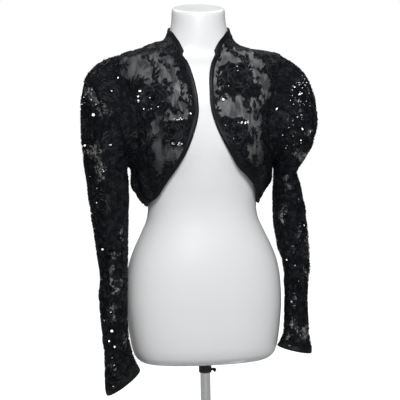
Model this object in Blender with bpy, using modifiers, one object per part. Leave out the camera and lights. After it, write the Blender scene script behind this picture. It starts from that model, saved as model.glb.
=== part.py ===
"""Sheer bolero jacket worn by a limbless dress form on a short table stand.

Metres, +Z up. The form faces -Y, so the wearer's right side is at -X. The floor is z = 0
and the stand's axis is the Z axis.

The dress form is a loft of oval sections. A place on it is an angle round its axis (0 at
the centre front, 90 degrees at the wearer's left side, -90 at the right side, 180 at the
centre back) and a level, which is the height of its section. The jacket's body panels are
cut from one surface, the form's own surface lifted by the jacket's ease. Each sleeve is a
loft of oval sections that hangs from its armhole.
"""

import math
from bisect import bisect_right
from collections import namedtuple

import bmesh
import bpy
from mathutils import Vector

# Cloth
WALL = 0.0015
BINDING_WALL = 0.0023
BINDING_WIDTH = 0.010
SEAM_GAP = 0.0003
ARMHOLE_GAP = 0.0005
NAPE_TURN = 0.010

# Jacket body levels
HEM_LEVEL = 0.503
UNDERARM_LEVEL = 0.588
SHOULDER_TIP_LEVEL = 0.8275
NECK_SEAM_LEVEL = 0.864
COLLAR_TOP_LEVEL = 0.8850
COLLAR_END_HEIGHT = 0.002
CORNER_TURN = 0.008
NECK_EDGE_SHORTENING = 0.35
ARMHOLE_REACH = math.radians(29)

# Mesh density
FORM_SEGMENTS = 32
SLEEVE_SEGMENTS = 40
SLEEVE_CROWDING = 0.45
FRONT_COLUMNS = 8
HEM_COLUMNS = 3
BACK_COLUMNS = 20
NECK_EDGE_COLUMNS = 9
TURNED_SEGMENTS = 64

# Steps for slopes of the cloth surface, and halvings of the search for a front edge
TURN_STEP = 0.02
LEVEL_STEP = 0.0015
FINE_TURN_STEP = 0.01
FINE_LEVEL_STEP = 0.001
EDGE_HALVINGS = 30

# Stand
BASE_RADIUS = 0.140
BASE_THICKNESS = 0.008
BOSS_RADIUS = 0.021
BOSS_TOP = 0.030
POLE_RADIUS = 0.011
POLE_FOOT = 0.012
POLE_TOP = 0.147
SOCKET_RADIUS = 0.014
SOCKET_FOOT = 0.129
SOFT_EDGE = 0.0015
FIT_GAP = 0.0003
SCREW_ABOVE_FOOT = 0.0065
SHANK_LENGTH = 0.006
SHANK_RADIUS = 0.003
SHANK_SEGMENTS = 16
WING_SIZE = (0.0035, 0.0120, 0.0070)
WING_DROP = 0.002
WING_TILT = math.radians(24)

RIGHT = -1
LEFT = 1
QUARTER_TURN = math.pi / 2

# Dress form: one oval section a row, from the flat underside to the neck's flat top.
FormSection = namedtuple("FormSection", "level half_width front back squareness tilt")
FORM_SECTIONS = [
    FormSection(0.1570, 0.1270, 0.0640, 0.0720, 2.3, 0.0),
    FormSection(0.1590, 0.1370, 0.0730, 0.0820, 2.3, 0.0),
    FormSection(0.1650, 0.1475, 0.0830, 0.0930, 2.3, 0.0),
    FormSection(0.1760, 0.1560, 0.0910, 0.1020, 2.3, 0.0),
    FormSection(0.1960, 0.1618, 0.0960, 0.1080, 2.3, 0.0),
    FormSection(0.2380, 0.1678, 0.0985, 0.1130, 2.3, 0.0),
    FormSection(0.2900, 0.1715, 0.0985, 0.1150, 2.3, 0.0),
    FormSection(0.3350, 0.1700, 0.0965, 0.1110, 2.25, 0.0),
    FormSection(0.3750, 0.1635, 0.0930, 0.1020, 2.2, 0.0),
    FormSection(0.4100, 0.1510, 0.0880, 0.0890, 2.15, 0.0),
    FormSection(0.4450, 0.1345, 0.0820, 0.0750, 2.1, 0.0),
    FormSection(0.4750, 0.1220, 0.0780, 0.0660, 2.1, 0.0),
    FormSection(0.4970, 0.1190, 0.0770, 0.0630, 2.1, 0.0),
    FormSection(0.5200, 0.1215, 0.0790, 0.0640, 2.1, 0.0),
    FormSection(0.5550, 0.1290, 0.0850, 0.0690, 2.1, 0.0),
    FormSection(0.5950, 0.1375, 0.0900, 0.0760, 2.15, 0.0),
    FormSection(0.6350, 0.1450, 0.0930, 0.0830, 2.2, 0.0),
    FormSection(0.6750, 0.1515, 0.0940, 0.0880, 2.25, 0.0),
    FormSection(0.7150, 0.1600, 0.0920, 0.0920, 2.3, 0.0),
    FormSection(0.7550, 0.1700, 0.0850, 0.0930, 2.35, 0.0),
    FormSection(0.7850, 0.1765, 0.0750, 0.0900, 2.35, 0.0),
    FormSection(0.8080, 0.1790, 0.0650, 0.0840, 2.3, 0.0),
    FormSection(0.8220, 0.1730, 0.0570, 0.0780, 2.2, 0.0),
    FormSection(0.8300, 0.1540, 0.0540, 0.0720, 2.1, 0.0),
    FormSection(0.8365, 0.1200, 0.0528, 0.0670, 2.0, 0.0),
    FormSection(0.8435, 0.0935, 0.0523, 0.0630, 2.0, 0.5),
    FormSection(0.8520, 0.0795, 0.0522, 0.0600, 2.0, 1.5),
    FormSection(0.8625, 0.0712, 0.0523, 0.0585, 2.0, 3.0),
    FormSection(0.8745, 0.0652, 0.0525, 0.0570, 2.0, 5.0),
    FormSection(0.8860, 0.0615, 0.0525, 0.0560, 2.0, 7.0),
    FormSection(0.9020, 0.0588, 0.0525, 0.0555, 2.0, 10.0),
    FormSection(0.9200, 0.0578, 0.0520, 0.0550, 2.0, 12.0),
    FormSection(0.9260, 0.0566, 0.0507, 0.0537, 2.0, 12.0),
    FormSection(0.9290, 0.0534, 0.0475, 0.0505, 2.0, 12.0),
]

# Bust of the form: two smooth swellings of its front.
BUST_LEVEL = 0.636
BUST_FROM_CENTRE = 0.074
BUST_RISE = 0.023
BUST_SPREAD_ACROSS = 0.044
BUST_SPREAD_DOWN = 0.050

# How far the jacket's inner face stands off the form. It blouses above its hem.
EaseSection = namedtuple("EaseSection", "level front side back")
EASE_SECTIONS = [
    EaseSection(0.500, 0.0030, 0.0030, 0.0035),
    EaseSection(0.512, 0.0035, 0.0085, 0.0070),
    EaseSection(0.527, 0.0040, 0.0160, 0.0120),
    EaseSection(0.552, 0.0050, 0.0215, 0.0165),
    EaseSection(0.590, 0.0050, 0.0175, 0.0150),
    EaseSection(0.630, 0.0045, 0.0110, 0.0110),
    EaseSection(0.680, 0.0040, 0.0065, 0.0070),
    EaseSection(0.740, 0.0035, 0.0040, 0.0045),
    EaseSection(0.815, 0.0028, 0.0030, 0.0032),
    EaseSection(0.838, 0.0016, 0.0011, 0.0018),
    EaseSection(0.856, 0.0019, 0.0011, 0.0018),
    EaseSection(0.874, 0.0028, 0.0028, 0.0032),
    EaseSection(0.900, 0.0032, 0.0032, 0.0038),
]

# Soft upright folds where the body blouses over its hem.
BodyFold = namedtuple("BodyFold", "angle level rise half_turn half_height")
BODY_FOLDS = [
    BodyFold(-64, 0.560, 0.0050, 6, 0.036),
    BodyFold(-84, 0.556, 0.0040, 6, 0.030),
    BodyFold(-112, 0.562, 0.0055, 7, 0.040),
    BodyFold(-140, 0.570, 0.0050, 7, 0.046),
    BodyFold(-166, 0.575, 0.0045, 7, 0.050),
    BodyFold(60, 0.566, 0.0045, 6, 0.038),
    BodyFold(82, 0.556, 0.0045, 6, 0.030),
    BodyFold(108, 0.560, 0.0050, 7, 0.038),
    BodyFold(134, 0.572, 0.0055, 7, 0.048),
    BodyFold(158, 0.570, 0.0040, 7, 0.044),
    BodyFold(86, 0.536, -0.0070, 22, 0.022),
    BodyFold(-90, 0.842, 0.0092, 34, 0.014),
]

# Finished front edges, as distances from the centre plane: each side in the photo differs.
FrontEdge = namedtuple("FrontEdge", "level right left")
FRONT_EDGES = [
    FrontEdge(0.508, 0.1210, 0.1180),
    FrontEdge(0.529, 0.1040, 0.1115),
    FrontEdge(0.557, 0.0885, 0.0985),
    FrontEdge(0.590, 0.0668, 0.0660),
    FrontEdge(0.629, 0.0435, 0.0420),
    FrontEdge(0.655, 0.0315, 0.0285),
    FrontEdge(0.688, 0.0200, 0.0160),
    FrontEdge(0.714, 0.0160, 0.0098),
    FrontEdge(0.743, 0.0175, 0.0078),
    FrontEdge(0.776, 0.0232, 0.0090),
    FrontEdge(0.815, 0.0348, 0.0185),
    FrontEdge(0.842, 0.0420, 0.0280),
    FrontEdge(0.858, 0.0480, 0.0370),
    FrontEdge(0.868, 0.0535, 0.0460),
    FrontEdge(0.879, 0.0600, 0.0555),
]

# Rows of a panel run from its front edge to its side seam, armhole or shoulder seam.
PanelRow = namedtuple("PanelRow", "edge_level side_level")
SIDE_SEAM_ROWS = [
    PanelRow(0.523, 0.5145), PanelRow(0.537, 0.531), PanelRow(0.553, 0.549),
    PanelRow(0.571, 0.568),
]
ARMHOLE_EDGE_LEVELS = (0.590, 0.835)
SHOULDER_SEAM_ROWS = [
    PanelRow(0.841, 0.8330), PanelRow(0.847, 0.8410), PanelRow(0.853, 0.8485),
    PanelRow(0.860, 0.8560),
]
COLLAR_EDGE_LEVELS = (0.8735, 0.8795)

# Sleeves: one oval section a row, set by its points nearest to and farthest from the body.
SleeveSection = namedtuple(
    "SleeveSection", "inner_x inner_z outer_x outer_z mid_y half_depth gather"
)
RIGHT_SLEEVE = [
    SleeveSection(0.1610, 0.592, 0.2020, 0.8200, 0.000, 0.060, 0.0026),
    SleeveSection(0.1645, 0.585, 0.2245, 0.8050, 0.000, 0.068, 0.0030),
    SleeveSection(0.1650, 0.574, 0.2450, 0.7830, -0.002, 0.073, 0.0026),
    SleeveSection(0.1645, 0.563, 0.2555, 0.7480, -0.004, 0.075, 0.0020),
    SleeveSection(0.1640, 0.552, 0.2590, 0.7050, -0.006, 0.073, 0.0013),
    SleeveSection(0.1635, 0.541, 0.2595, 0.6550, -0.008, 0.069, 0.0006),
    SleeveSection(0.1625, 0.526, 0.2555, 0.6000, -0.010, 0.064, 0.0),
    SleeveSection(0.1640, 0.500, 0.2475, 0.5400, -0.013, 0.059, 0.0),
    SleeveSection(0.1665, 0.455, 0.2410, 0.4750, -0.017, 0.054, 0.0),
    SleeveSection(0.1685, 0.405, 0.2340, 0.4120, -0.022, 0.049, 0.0),
    SleeveSection(0.1715, 0.350, 0.2280, 0.3520, -0.028, 0.045, 0.0),
    SleeveSection(0.1735, 0.295, 0.2310, 0.2960, -0.033, 0.041, 0.0),
    SleeveSection(0.1740, 0.248, 0.2280, 0.2460, -0.037, 0.038, 0.0),
    SleeveSection(0.1705, 0.211, 0.2235, 0.1970, -0.040, 0.037, 0.0),
    SleeveSection(0.1635, 0.183, 0.2240, 0.1500, -0.042, 0.038, 0.0),
    SleeveSection(0.1550, 0.161, 0.2235, 0.1090, -0.043, 0.040, 0.0),
    SleeveSection(0.1496, 0.149, 0.2205, 0.0990, -0.043, 0.040, 0.0),
]
LEFT_SLEEVE = [
    SleeveSection(0.1610, 0.592, 0.2000, 0.8090, 0.000, 0.060, 0.0026),
    SleeveSection(0.1640, 0.584, 0.2250, 0.7870, 0.000, 0.068, 0.0030),
    SleeveSection(0.1645, 0.573, 0.2435, 0.7560, 0.000, 0.073, 0.0026),
    SleeveSection(0.1640, 0.562, 0.2525, 0.7200, 0.000, 0.075, 0.0020),
    SleeveSection(0.1630, 0.551, 0.2550, 0.6800, 0.000, 0.073, 0.0013),
    SleeveSection(0.1620, 0.541, 0.2495, 0.6450, 0.000, 0.070, 0.0006),
    SleeveSection(0.1615, 0.529, 0.2320, 0.6140, 0.000, 0.065, 0.0),
    SleeveSection(0.1610, 0.516, 0.2120, 0.5920, -0.001, 0.060, 0.0),
    SleeveSection(0.1605, 0.502, 0.2085, 0.5700, -0.002, 0.056, 0.0),
    SleeveSection(0.1595, 0.480, 0.2170, 0.5380, -0.004, 0.054, 0.0),
    SleeveSection(0.1605, 0.448, 0.2250, 0.4850, -0.006, 0.053, 0.0),
    SleeveSection(0.1690, 0.405, 0.2333, 0.4150, -0.008, 0.050, 0.0),
    SleeveSection(0.1795, 0.362, 0.2347, 0.3640, -0.010, 0.047, 0.0),
    SleeveSection(0.1825, 0.328, 0.2300, 0.3300, -0.012, 0.045, 0.0),
    SleeveSection(0.1800, 0.280, 0.2265, 0.2820, -0.016, 0.041, 0.0),
    SleeveSection(0.1760, 0.222, 0.2285, 0.2200, -0.022, 0.039, 0.0),
    SleeveSection(0.1655, 0.194, 0.2330, 0.1790, -0.026, 0.040, 0.0),
    SleeveSection(0.1600, 0.186, 0.2320, 0.1690, -0.027, 0.040, 0.0),
]
SLEEVES = {RIGHT: RIGHT_SLEEVE, LEFT: LEFT_SLEEVE}

# Long soft troughs in the sleeves: section number and turn (0 outer, 90 front) at each end.
SleeveFold = namedtuple("SleeveFold", "side top_row top_turn low_row low_turn depth spread")
SLEEVE_FOLDS = [
    SleeveFold(RIGHT, 2.0, 62, 9.0, 40, 0.0050, 15),
    SleeveFold(RIGHT, 1.5, 108, 7.5, 84, 0.0045, 15),
    SleeveFold(RIGHT, 8.5, 100, 14.0, 66, 0.0035, 18),
    SleeveFold(RIGHT, 2.0, -70, 10.0, -48, 0.0050, 16),
    SleeveFold(RIGHT, 7.0, -110, 14.0, -80, 0.0035, 18),
    SleeveFold(LEFT, 2.0, 48, 7.5, 74, 0.0050, 15),
    SleeveFold(LEFT, 1.5, 102, 9.0, 96, 0.0045, 15),
    SleeveFold(LEFT, 10.0, 70, 15.5, 96, 0.0035, 18),
    SleeveFold(LEFT, 2.0, -62, 8.5, -78, 0.0050, 16),
    SleeveFold(LEFT, 10.0, -84, 15.5, -64, 0.0035, 18),
]

# Shoulder pads, hung inside the gathered sleeve heads from the armhole seam.
PadRow = namedtuple("PadRow", "sleeve_row clearance thickness")
PAD_ROWS = [
    PadRow(0.12, 0.0015, 0.0012),
    PadRow(0.60, 0.0030, 0.0048),
    PadRow(1.20, 0.0036, 0.0080),
    PadRow(1.80, 0.0038, 0.0085),
    PadRow(2.30, 0.0036, 0.0070),
    PadRow(2.80, 0.0036, 0.0030),
]
PAD_HALF_TURN = math.radians(64)
PAD_COLUMNS = 10
PAD_THINNING_TURN = math.radians(72)
PAD_CENTRE = (0.15, 0.0, 0.70)

COLOURS = {
    "form_white": ((0.82, 0.83, 0.84), 0.32, 0.0),
    "lace": ((0.012, 0.014, 0.017), 0.62, 0.0),
    "satin": ((0.008, 0.009, 0.011), 0.42, 0.0),
    "pad_cloth": ((0.010, 0.010, 0.012), 0.80, 0.0),
    "steel": ((0.70, 0.71, 0.72), 0.18, 1.0),
    "black_metal": ((0.015, 0.015, 0.016), 0.38, 0.0),
}


def clear_scene():
    for thing in list(bpy.data.objects):
        bpy.data.objects.remove(thing, do_unlink=True)


def smooth_curve(places, values):
    """A function through the given values that bends smoothly and never overshoots."""
    steps = [after - before for before, after in zip(places, places[1:])]
    slopes = [
        (after - before) / step for before, after, step in zip(values, values[1:], steps)
    ]
    tangents = [slopes[0]]
    for before, after in zip(slopes, slopes[1:]):
        turning = before * after <= 0
        tangents.append(0.0 if turning else 2 * before * after / (before + after))
    tangents.append(slopes[-1])

    def at(place):
        place = min(max(place, places[0]), places[-1])
        i = min(max(bisect_right(places, place) - 1, 0), len(steps) - 1)
        t = (place - places[i]) / steps[i]
        rise = values[i + 1] - values[i]
        start, end = tangents[i] * steps[i], tangents[i + 1] * steps[i]
        curl = start + end - 2 * rise
        return values[i] + t * (start + t * (3 * rise - 2 * start - end + t * curl))

    return at


def curves_of(rows):
    """One smooth function of a table's first column for each of its other columns."""
    places = [row[0] for row in rows]
    return {
        name: smooth_curve(places, [getattr(row, name) for row in rows])
        for name in rows[0]._fields[1:]
    }


FORM = curves_of(FORM_SECTIONS)
EASE = curves_of(EASE_SECTIONS)
EDGES = curves_of(FRONT_EDGES)


def signed_power(value, power):
    return math.copysign(abs(value) ** power, value)


def bust_swelling(x, level, facing):
    """How far the form's front swells at the bust; facing is 1 in front and 0 at the side."""
    height = math.exp(-(((level - BUST_LEVEL) / BUST_SPREAD_DOWN) ** 2))
    across = sum(
        math.exp(-(((x - side * BUST_FROM_CENTRE) / BUST_SPREAD_ACROSS) ** 2))
        for side in (RIGHT, LEFT)
    )
    fade = min(1.0, 2 * facing)
    return BUST_RISE * height * across * fade * fade * (3 - 2 * fade)


def form_point(angle, level):
    across, facing = math.sin(angle), math.cos(angle)
    power = 2 / FORM["squareness"](level)
    x = signed_power(across, power) * FORM["half_width"](level)
    if facing > 0:
        y = -(facing**power) * FORM["front"](level) - bust_swelling(x, level, facing)
    else:
        y = abs(facing) ** power * FORM["back"](level)
    return Vector((x, y, level + y * math.tan(math.radians(FORM["tilt"](level)))))


def form_normal(angle, level):
    round_it = form_point(angle + TURN_STEP, level) - form_point(angle - TURN_STEP, level)
    up_it = form_point(angle, level + LEVEL_STEP) - form_point(angle, level - LEVEL_STEP)
    return round_it.cross(up_it).normalized()


def fold_rise(angle, level):
    rise = 0.0
    for fold in BODY_FOLDS:
        turn = math.remainder(angle - math.radians(fold.angle), 2 * math.pi)
        across = turn / math.radians(fold.half_turn)
        down = (level - fold.level) / fold.half_height
        rise += fold.rise * math.exp(-across * across - down * down)
    return rise


def cloth_point(angle, level, lift=0.0):
    """A point of the jacket's body, lifted from its inner face."""
    facing = math.cos(angle)
    middle = EASE["front" if facing > 0 else "back"](level)
    ease = middle * facing**2 + EASE["side"](level) * math.sin(angle) ** 2
    ease += fold_rise(angle, level)
    return form_point(angle, level) + form_normal(angle, level) * (ease + lift)


def edge_angle(side, level):
    """The angle at which the jacket's surface is as far out as its front edge."""
    target = EDGES["right" if side == RIGHT else "left"](level)
    low, high = 0.0, QUARTER_TURN
    for _ in range(EDGE_HALVINGS):
        middle = (low + high) / 2
        if abs(cloth_point(side * middle, level).x) < target:
            low = middle
        else:
            high = middle
    return side * low


def armhole_place(side, turn, gap=0.0):
    """Angle and level on the armhole. Turn 0 is the shoulder tip, 90 degrees the front."""
    middle = (SHOULDER_TIP_LEVEL + UNDERARM_LEVEL) / 2
    half = (SHOULDER_TIP_LEVEL - UNDERARM_LEVEL) / 2 - gap
    reach = ARMHOLE_REACH - gap / FORM["half_width"](middle)
    return side * (QUARTER_TURN - reach * math.sin(turn)), middle + half * math.cos(turn)


def sleeve_turns():
    """Turns of a sleeve's vertices, closer together over the gathered shoulder."""
    turns = []
    for i in range(SLEEVE_SEGMENTS):
        even = 2 * math.pi * i / SLEEVE_SEGMENTS
        turns.append(even - SLEEVE_CROWDING * math.sin(even))
    return turns


def inset(path, distance):
    """Moves a path of (angle, level) places sideways over the cloth, to its left."""
    moved = []
    for i, (angle, level) in enumerate(path):
        before = cloth_point(*path[max(i - 1, 0)])
        after = cloth_point(*path[min(i + 1, len(path) - 1)])
        sideways = form_normal(angle, level).cross(after - before).normalized()
        here = cloth_point(angle, level)
        by_turn = (cloth_point(angle + FINE_TURN_STEP, level) - here) / FINE_TURN_STEP
        by_level = (cloth_point(angle, level + FINE_LEVEL_STEP) - here) / FINE_LEVEL_STEP
        aa, bb, ab = by_turn.dot(by_turn), by_level.dot(by_level), by_turn.dot(by_level)
        a, b = by_turn.dot(sideways) * distance, by_level.dot(sideways) * distance
        scale = aa * bb - ab * ab
        moved.append((angle + (a * bb - b * ab) / scale, level + (b * aa - a * ab) / scale))
    return moved


def material(name):
    made = bpy.data.materials.get(name)
    if made is None:
        made = bpy.data.materials.new(name)
        made.use_nodes = True
        colour, roughness, metallic = COLOURS[name]
        shader = made.node_tree.nodes["Principled BSDF"]
        shader.inputs["Base Color"].default_value = (*colour, 1.0)
        shader.inputs["Roughness"].default_value = roughness
        shader.inputs["Metallic"].default_value = metallic
    return made


def add_object(name, mesh, colour, collection, smooth=True):
    if smooth:
        mesh.shade_smooth()
        mesh.set_sharp_from_angle(angle=math.radians(50))
    mesh.materials.append(material(colour))
    thing = bpy.data.objects.new(name, mesh)
    collection.objects.link(thing)
    return thing


def mesh_of(name, points, faces):
    mesh = bpy.data.meshes.new(name)
    mesh.from_pydata(points, [], faces)
    work = bmesh.new()
    work.from_mesh(mesh)
    bmesh.ops.recalc_face_normals(work, faces=work.faces)
    work.to_mesh(mesh)
    work.free()
    return mesh


def wall_mesh(name, inner, outer, closed=False):
    """A closed wall between two equal grids of points; closed grids join round each row."""
    rows, columns = len(inner), len(inner[0])
    points = [p for grid in (inner, outer) for row in grid for p in row]
    lift = rows * columns

    def at(row, column):
        return row * columns + column % columns

    cells = [
        (at(r, c), at(r, c + 1), at(r + 1, c + 1), at(r + 1, c))
        for r in range(rows - 1)
        for c in range(columns if closed else columns - 1)
    ]
    rims = []
    for r in (0, rows - 1):
        rims += [(at(r, c), at(r, c + 1)) for c in range(columns if closed else columns - 1)]
    if not closed:
        for c in (0, columns - 1):
            rims += [(at(r, c), at(r + 1, c)) for r in range(rows - 1)]
    faces = []
    for a, b, c, d in cells:
        faces += [(a, c, b), (a, d, c)]
        faces += [(a + lift, b + lift, c + lift), (a + lift, c + lift, d + lift)]
    for a, b in rims:
        faces += [(a, b, b + lift), (a, b + lift, a + lift)]
    return mesh_of(name, points, faces)


def between(start, end, count):
    return [start + (end - start) * i / count for i in range(count + 1)]


def build_form(collection):
    turns = [2 * math.pi * i / FORM_SEGMENTS for i in range(FORM_SEGMENTS)]
    rings = [[form_point(turn, row.level) for turn in turns] for row in FORM_SECTIONS]
    points = [p for ring in rings for p in ring]
    faces = []
    for r in range(len(rings) - 1):
        for c in range(FORM_SEGMENTS):
            d = (c + 1) % FORM_SEGMENTS
            low, high = r * FORM_SEGMENTS, (r + 1) * FORM_SEGMENTS
            faces.append((low + c, low + d, high + d, high + c))
    faces.append(tuple(reversed(range(FORM_SEGMENTS))))
    faces.append(tuple(range((len(rings) - 1) * FORM_SEGMENTS, len(points))))
    add_object("dress_form", mesh_of("dress_form", points, faces), "form_white", collection)


def edge_levels():
    """Levels of the points of a finished front edge, one for each row of the panel."""
    seam = [row.edge_level for row in SIDE_SEAM_ROWS]
    armhole = between(*ARMHOLE_EDGE_LEVELS, SLEEVE_SEGMENTS // 4)
    shoulder = [row.edge_level for row in SHOULDER_SEAM_ROWS]
    return [FRONT_EDGES[0].level, *seam, *armhole, *shoulder, *COLLAR_EDGE_LEVELS]


def seam_angle(side, front):
    """The side and shoulder seam, less half of its gap."""
    gap = SEAM_GAP / 2 / FORM["front"](NECK_SEAM_LEVEL)
    return side * (QUARTER_TURN - gap if front else QUARTER_TURN + gap)


def edge_path(side):
    """The finished edge of one half: side seam, hem, front edge, then round to the nape."""
    path = [(edge_angle(side, level), level) for level in edge_levels()]
    start = path[0][0]
    seam = seam_angle(side, front=True)
    hem = [(angle, HEM_LEVEL) for angle in between(seam, start, HEM_COLUMNS)[:-1]]
    last = path[-1][0]
    nape = side * (math.pi - NAPE_TURN / 2)
    neck = []
    below_top = COLLAR_TOP_LEVEL - FRONT_EDGES[-1].level
    for turn in between(last, nape, NECK_EDGE_COLUMNS)[1:]:
        below_top *= NECK_EDGE_SHORTENING
        neck.append((turn, COLLAR_TOP_LEVEL - below_top))
    return hem + path + neck


def build_edge_binding(name, path, side, collection):
    """A satin strip that ends the cloth, as wide as BINDING_WIDTH, along an edge path."""
    strip = [path, inset(path, -side * BINDING_WIDTH)]
    below = (WALL - BINDING_WALL) / 2
    inner = [[cloth_point(*place, below) for place in line] for line in strip]
    outer = [[cloth_point(*place, below + BINDING_WALL) for place in line] for line in strip]
    add_object(name, wall_mesh(name, inner, outer), "satin", collection)


def side_places(side, front):
    """Places (angle, level) of a panel's outer side, one for each row above its hem."""
    seam = seam_angle(side, front)
    half = sleeve_turns()[: SLEEVE_SEGMENTS // 2 + 1 : 2]
    armhole = [armhole_place(side, turn if front else -turn) for turn in reversed(half)]
    armhole[0] = (seam, armhole[0][1])
    armhole[-1] = (seam, armhole[-1][1])
    below = [(seam, row.side_level) for row in SIDE_SEAM_ROWS]
    above = [(seam, row.side_level) for row in SHOULDER_SEAM_ROWS]
    return [*below, *armhole, *above, (seam, NECK_SEAM_LEVEL - SEAM_GAP)]


def inset_line(side):
    """Where the cloth starts behind the binding, along the whole finished edge."""
    return inset(edge_path(side), -side * (BINDING_WIDTH + SEAM_GAP))


def crossing(side, line, level):
    """The index and place at which a rising edge line reaches a level, just off the edge."""
    for i, (before, after) in enumerate(zip(line, line[1:])):
        if before[1] < level <= after[1]:
            share = (level - before[1]) / (after[1] - before[1])
            angle = before[0] + (after[0] - before[0]) * share
            return i + 1, (angle + side * CORNER_TURN, level)
    raise ValueError("the line never reaches the level")


def build_front(name, side, collection):
    line = inset_line(side)
    index, last = crossing(side, line, NECK_SEAM_LEVEL - SEAM_GAP)
    starts = [*line[HEM_COLUMNS:index], last]
    ends = [(seam_angle(side, front=True), line[0][1]), *side_places(side, front=True)]
    rows = []
    for start, end in zip(starts, ends, strict=True):
        angles = between(start[0], end[0], FRONT_COLUMNS)
        levels = between(start[1], end[1], FRONT_COLUMNS)
        rows.append(list(zip(angles, levels)))
    add_panel(name, rows, collection)


def add_panel(name, rows, collection):
    inner = [[cloth_point(*place) for place in row] for row in rows]
    outer = [[cloth_point(*place, WALL) for place in row] for row in rows]
    add_object(name, wall_mesh(name, inner, outer), "lace", collection)


def build_back(collection):
    right, left = side_places(RIGHT, front=False), side_places(LEFT, front=False)
    rows = [inset(hem_path(), -LEFT * (BINDING_WIDTH + SEAM_GAP))]
    for (right_angle, level), (left_angle, _) in zip(right, left):
        angles = between(right_angle + 2 * math.pi, left_angle, BACK_COLUMNS)
        rows.append([(angle, level) for angle in angles])
    add_panel("back", rows, collection)


def hem_path():
    """The back hem, from the right side seam round to the left one."""
    seam = seam_angle(LEFT, front=False)
    return [(angle, HEM_LEVEL) for angle in between(2 * math.pi - seam, seam, BACK_COLUMNS)]


def build_collar(collection):
    """A low stand round the neck, whose ends run out into the front edges."""
    low = NECK_SEAM_LEVEL + SEAM_GAP
    halves = []
    for side in (RIGHT, LEFT):
        line = inset_line(side)
        index, end = crossing(side, line, low + COLLAR_END_HEIGHT)
        halves.append([end, *line[index:]])
    right, left = halves
    top = right + [(angle - 2 * math.pi, level) for angle, level in reversed(left)]
    rows = []
    for share in (0.0, 0.5, 1.0):
        rows.append([(angle, low + (level - low) * share) for angle, level in top])
    add_panel("collar", rows, collection)


def fold_depth(side, row, turn):
    depth = 0.0
    for fold in SLEEVE_FOLDS:
        if fold.side != side:
            continue
        along = (row - fold.top_row) / (fold.low_row - fold.top_row)
        if not 0 < along < 1:
            continue
        line = math.radians(fold.top_turn + (fold.low_turn - fold.top_turn) * along)
        off = math.remainder(turn - line, 2 * math.pi) / math.radians(fold.spread)
        depth += fold.depth * math.sin(math.pi * along) * math.exp(-off * off)
    return depth


def section_point(side, section, row, turn, wave):
    """A point of one sleeve section. Wave is 1 on a gather's crest and -1 in its trough."""
    inner = Vector((side * section.inner_x, section.mid_y, section.inner_z))
    outer = Vector((side * section.outer_x, section.mid_y, section.outer_z))
    middle, half = (inner + outer) / 2, (outer - inner) / 2
    spoke = half * math.cos(turn) + Vector((0, -section.half_depth * math.sin(turn), 0))
    over_shoulder = math.cos(turn / 2) ** 2
    swell = section.gather * wave * over_shoulder - fold_depth(side, row, turn)
    return middle + spoke * (1 + swell / spoke.length)


def sleeve_grid(side, rows, turns, gathered=True, lift=0.0):
    """Rings of the sleeve's inner face; row 0 is the armhole and row n is table row n - 1."""
    sections = SLEEVES[side]
    count = len(turns)
    armhole = [cloth_point(*armhole_place(side, turn, ARMHOLE_GAP), lift) for turn in turns]
    for i in range(1, count, 2):
        armhole[i] = (armhole[i - 1] + armhole[(i + 1) % count]) / 2
    rings = [armhole]
    for number, section in enumerate(sections, start=1):
        ring = []
        for i, turn in enumerate(turns):
            wave = (1 - 2 * (i % 2)) if gathered else 0
            ring.append(section_point(side, section, number, turn, wave))
        rings.append(ring)
    picked = []
    for row in rows:
        low = min(int(row), len(rings) - 2)
        share = row - low
        picked.append([a.lerp(b, share) for a, b in zip(rings[low], rings[low + 1])])
    return picked


def grid_normals(grid, side):
    """Outward normals of a closed grid of rings."""
    count = len(grid[0])
    normals = []
    for r, ring in enumerate(grid):
        below, above = grid[max(r - 1, 0)], grid[min(r + 1, len(grid) - 1)]
        row = []
        for c in range(count):
            round_it = ring[(c + 1) % count] - ring[c - 1]
            along = above[c] - below[c]
            row.append((round_it.cross(along) * side).normalized())
        normals.append(row)
    return normals


def lifted(grid, normals, amount):
    return [[p + n * amount for p, n in zip(ring, row)] for ring, row in zip(grid, normals)]


def build_sleeve(word, side, collection):
    sections = SLEEVES[side]
    last = len(sections)
    turns = sleeve_turns()
    binding_length = (Vector((sections[-1].inner_x, 0, sections[-1].inner_z))
                      - Vector((sections[-2].inner_x, 0, sections[-2].inner_z))).length
    stop = last - 1 - SEAM_GAP / binding_length
    inner = sleeve_grid(side, [*range(last - 1), stop], turns)
    normals = grid_normals(inner, side)
    outer = lifted(inner, normals, WALL)
    outer[0] = sleeve_grid(side, [0], turns, lift=WALL)[0]
    name = "sleeve_" + word
    add_object(name, wall_mesh(name, inner, outer, closed=True), "lace", collection)

    cuff = sleeve_grid(side, [last - 1, last], turns)
    normals = grid_normals(cuff, side)
    below = (WALL - BINDING_WALL) / 2
    name = "cuff_binding_" + word
    mesh = wall_mesh(name, lifted(cuff, normals, below),
                     lifted(cuff, normals, below + BINDING_WALL), closed=True)
    add_object(name, mesh, "satin", collection)


def build_pad(word, side, collection):
    """A crescent pad just under the sleeve head, thickest in the middle."""
    turns = between(-PAD_HALF_TURN, PAD_HALF_TURN, PAD_COLUMNS)
    grid = sleeve_grid(side, [row.sleeve_row for row in PAD_ROWS], turns, gathered=False)
    centre = Vector((side * PAD_CENTRE[0], *PAD_CENTRE[1:]))
    thinning = [math.cos(turn / PAD_HALF_TURN * PAD_THINNING_TURN) for turn in turns]
    upper, lower = [], []
    for ring, row in zip(grid, PAD_ROWS):
        inward = [(centre - p).normalized() for p in ring]
        top = [p + n * row.clearance for p, n in zip(ring, inward)]
        upper.append(top)
        lower.append([p + n * row.thickness * t for p, n, t in zip(top, inward, thinning)])
    name = "shoulder_pad_" + word
    add_object(name, wall_mesh(name, lower, upper), "pad_cloth", collection)


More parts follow.
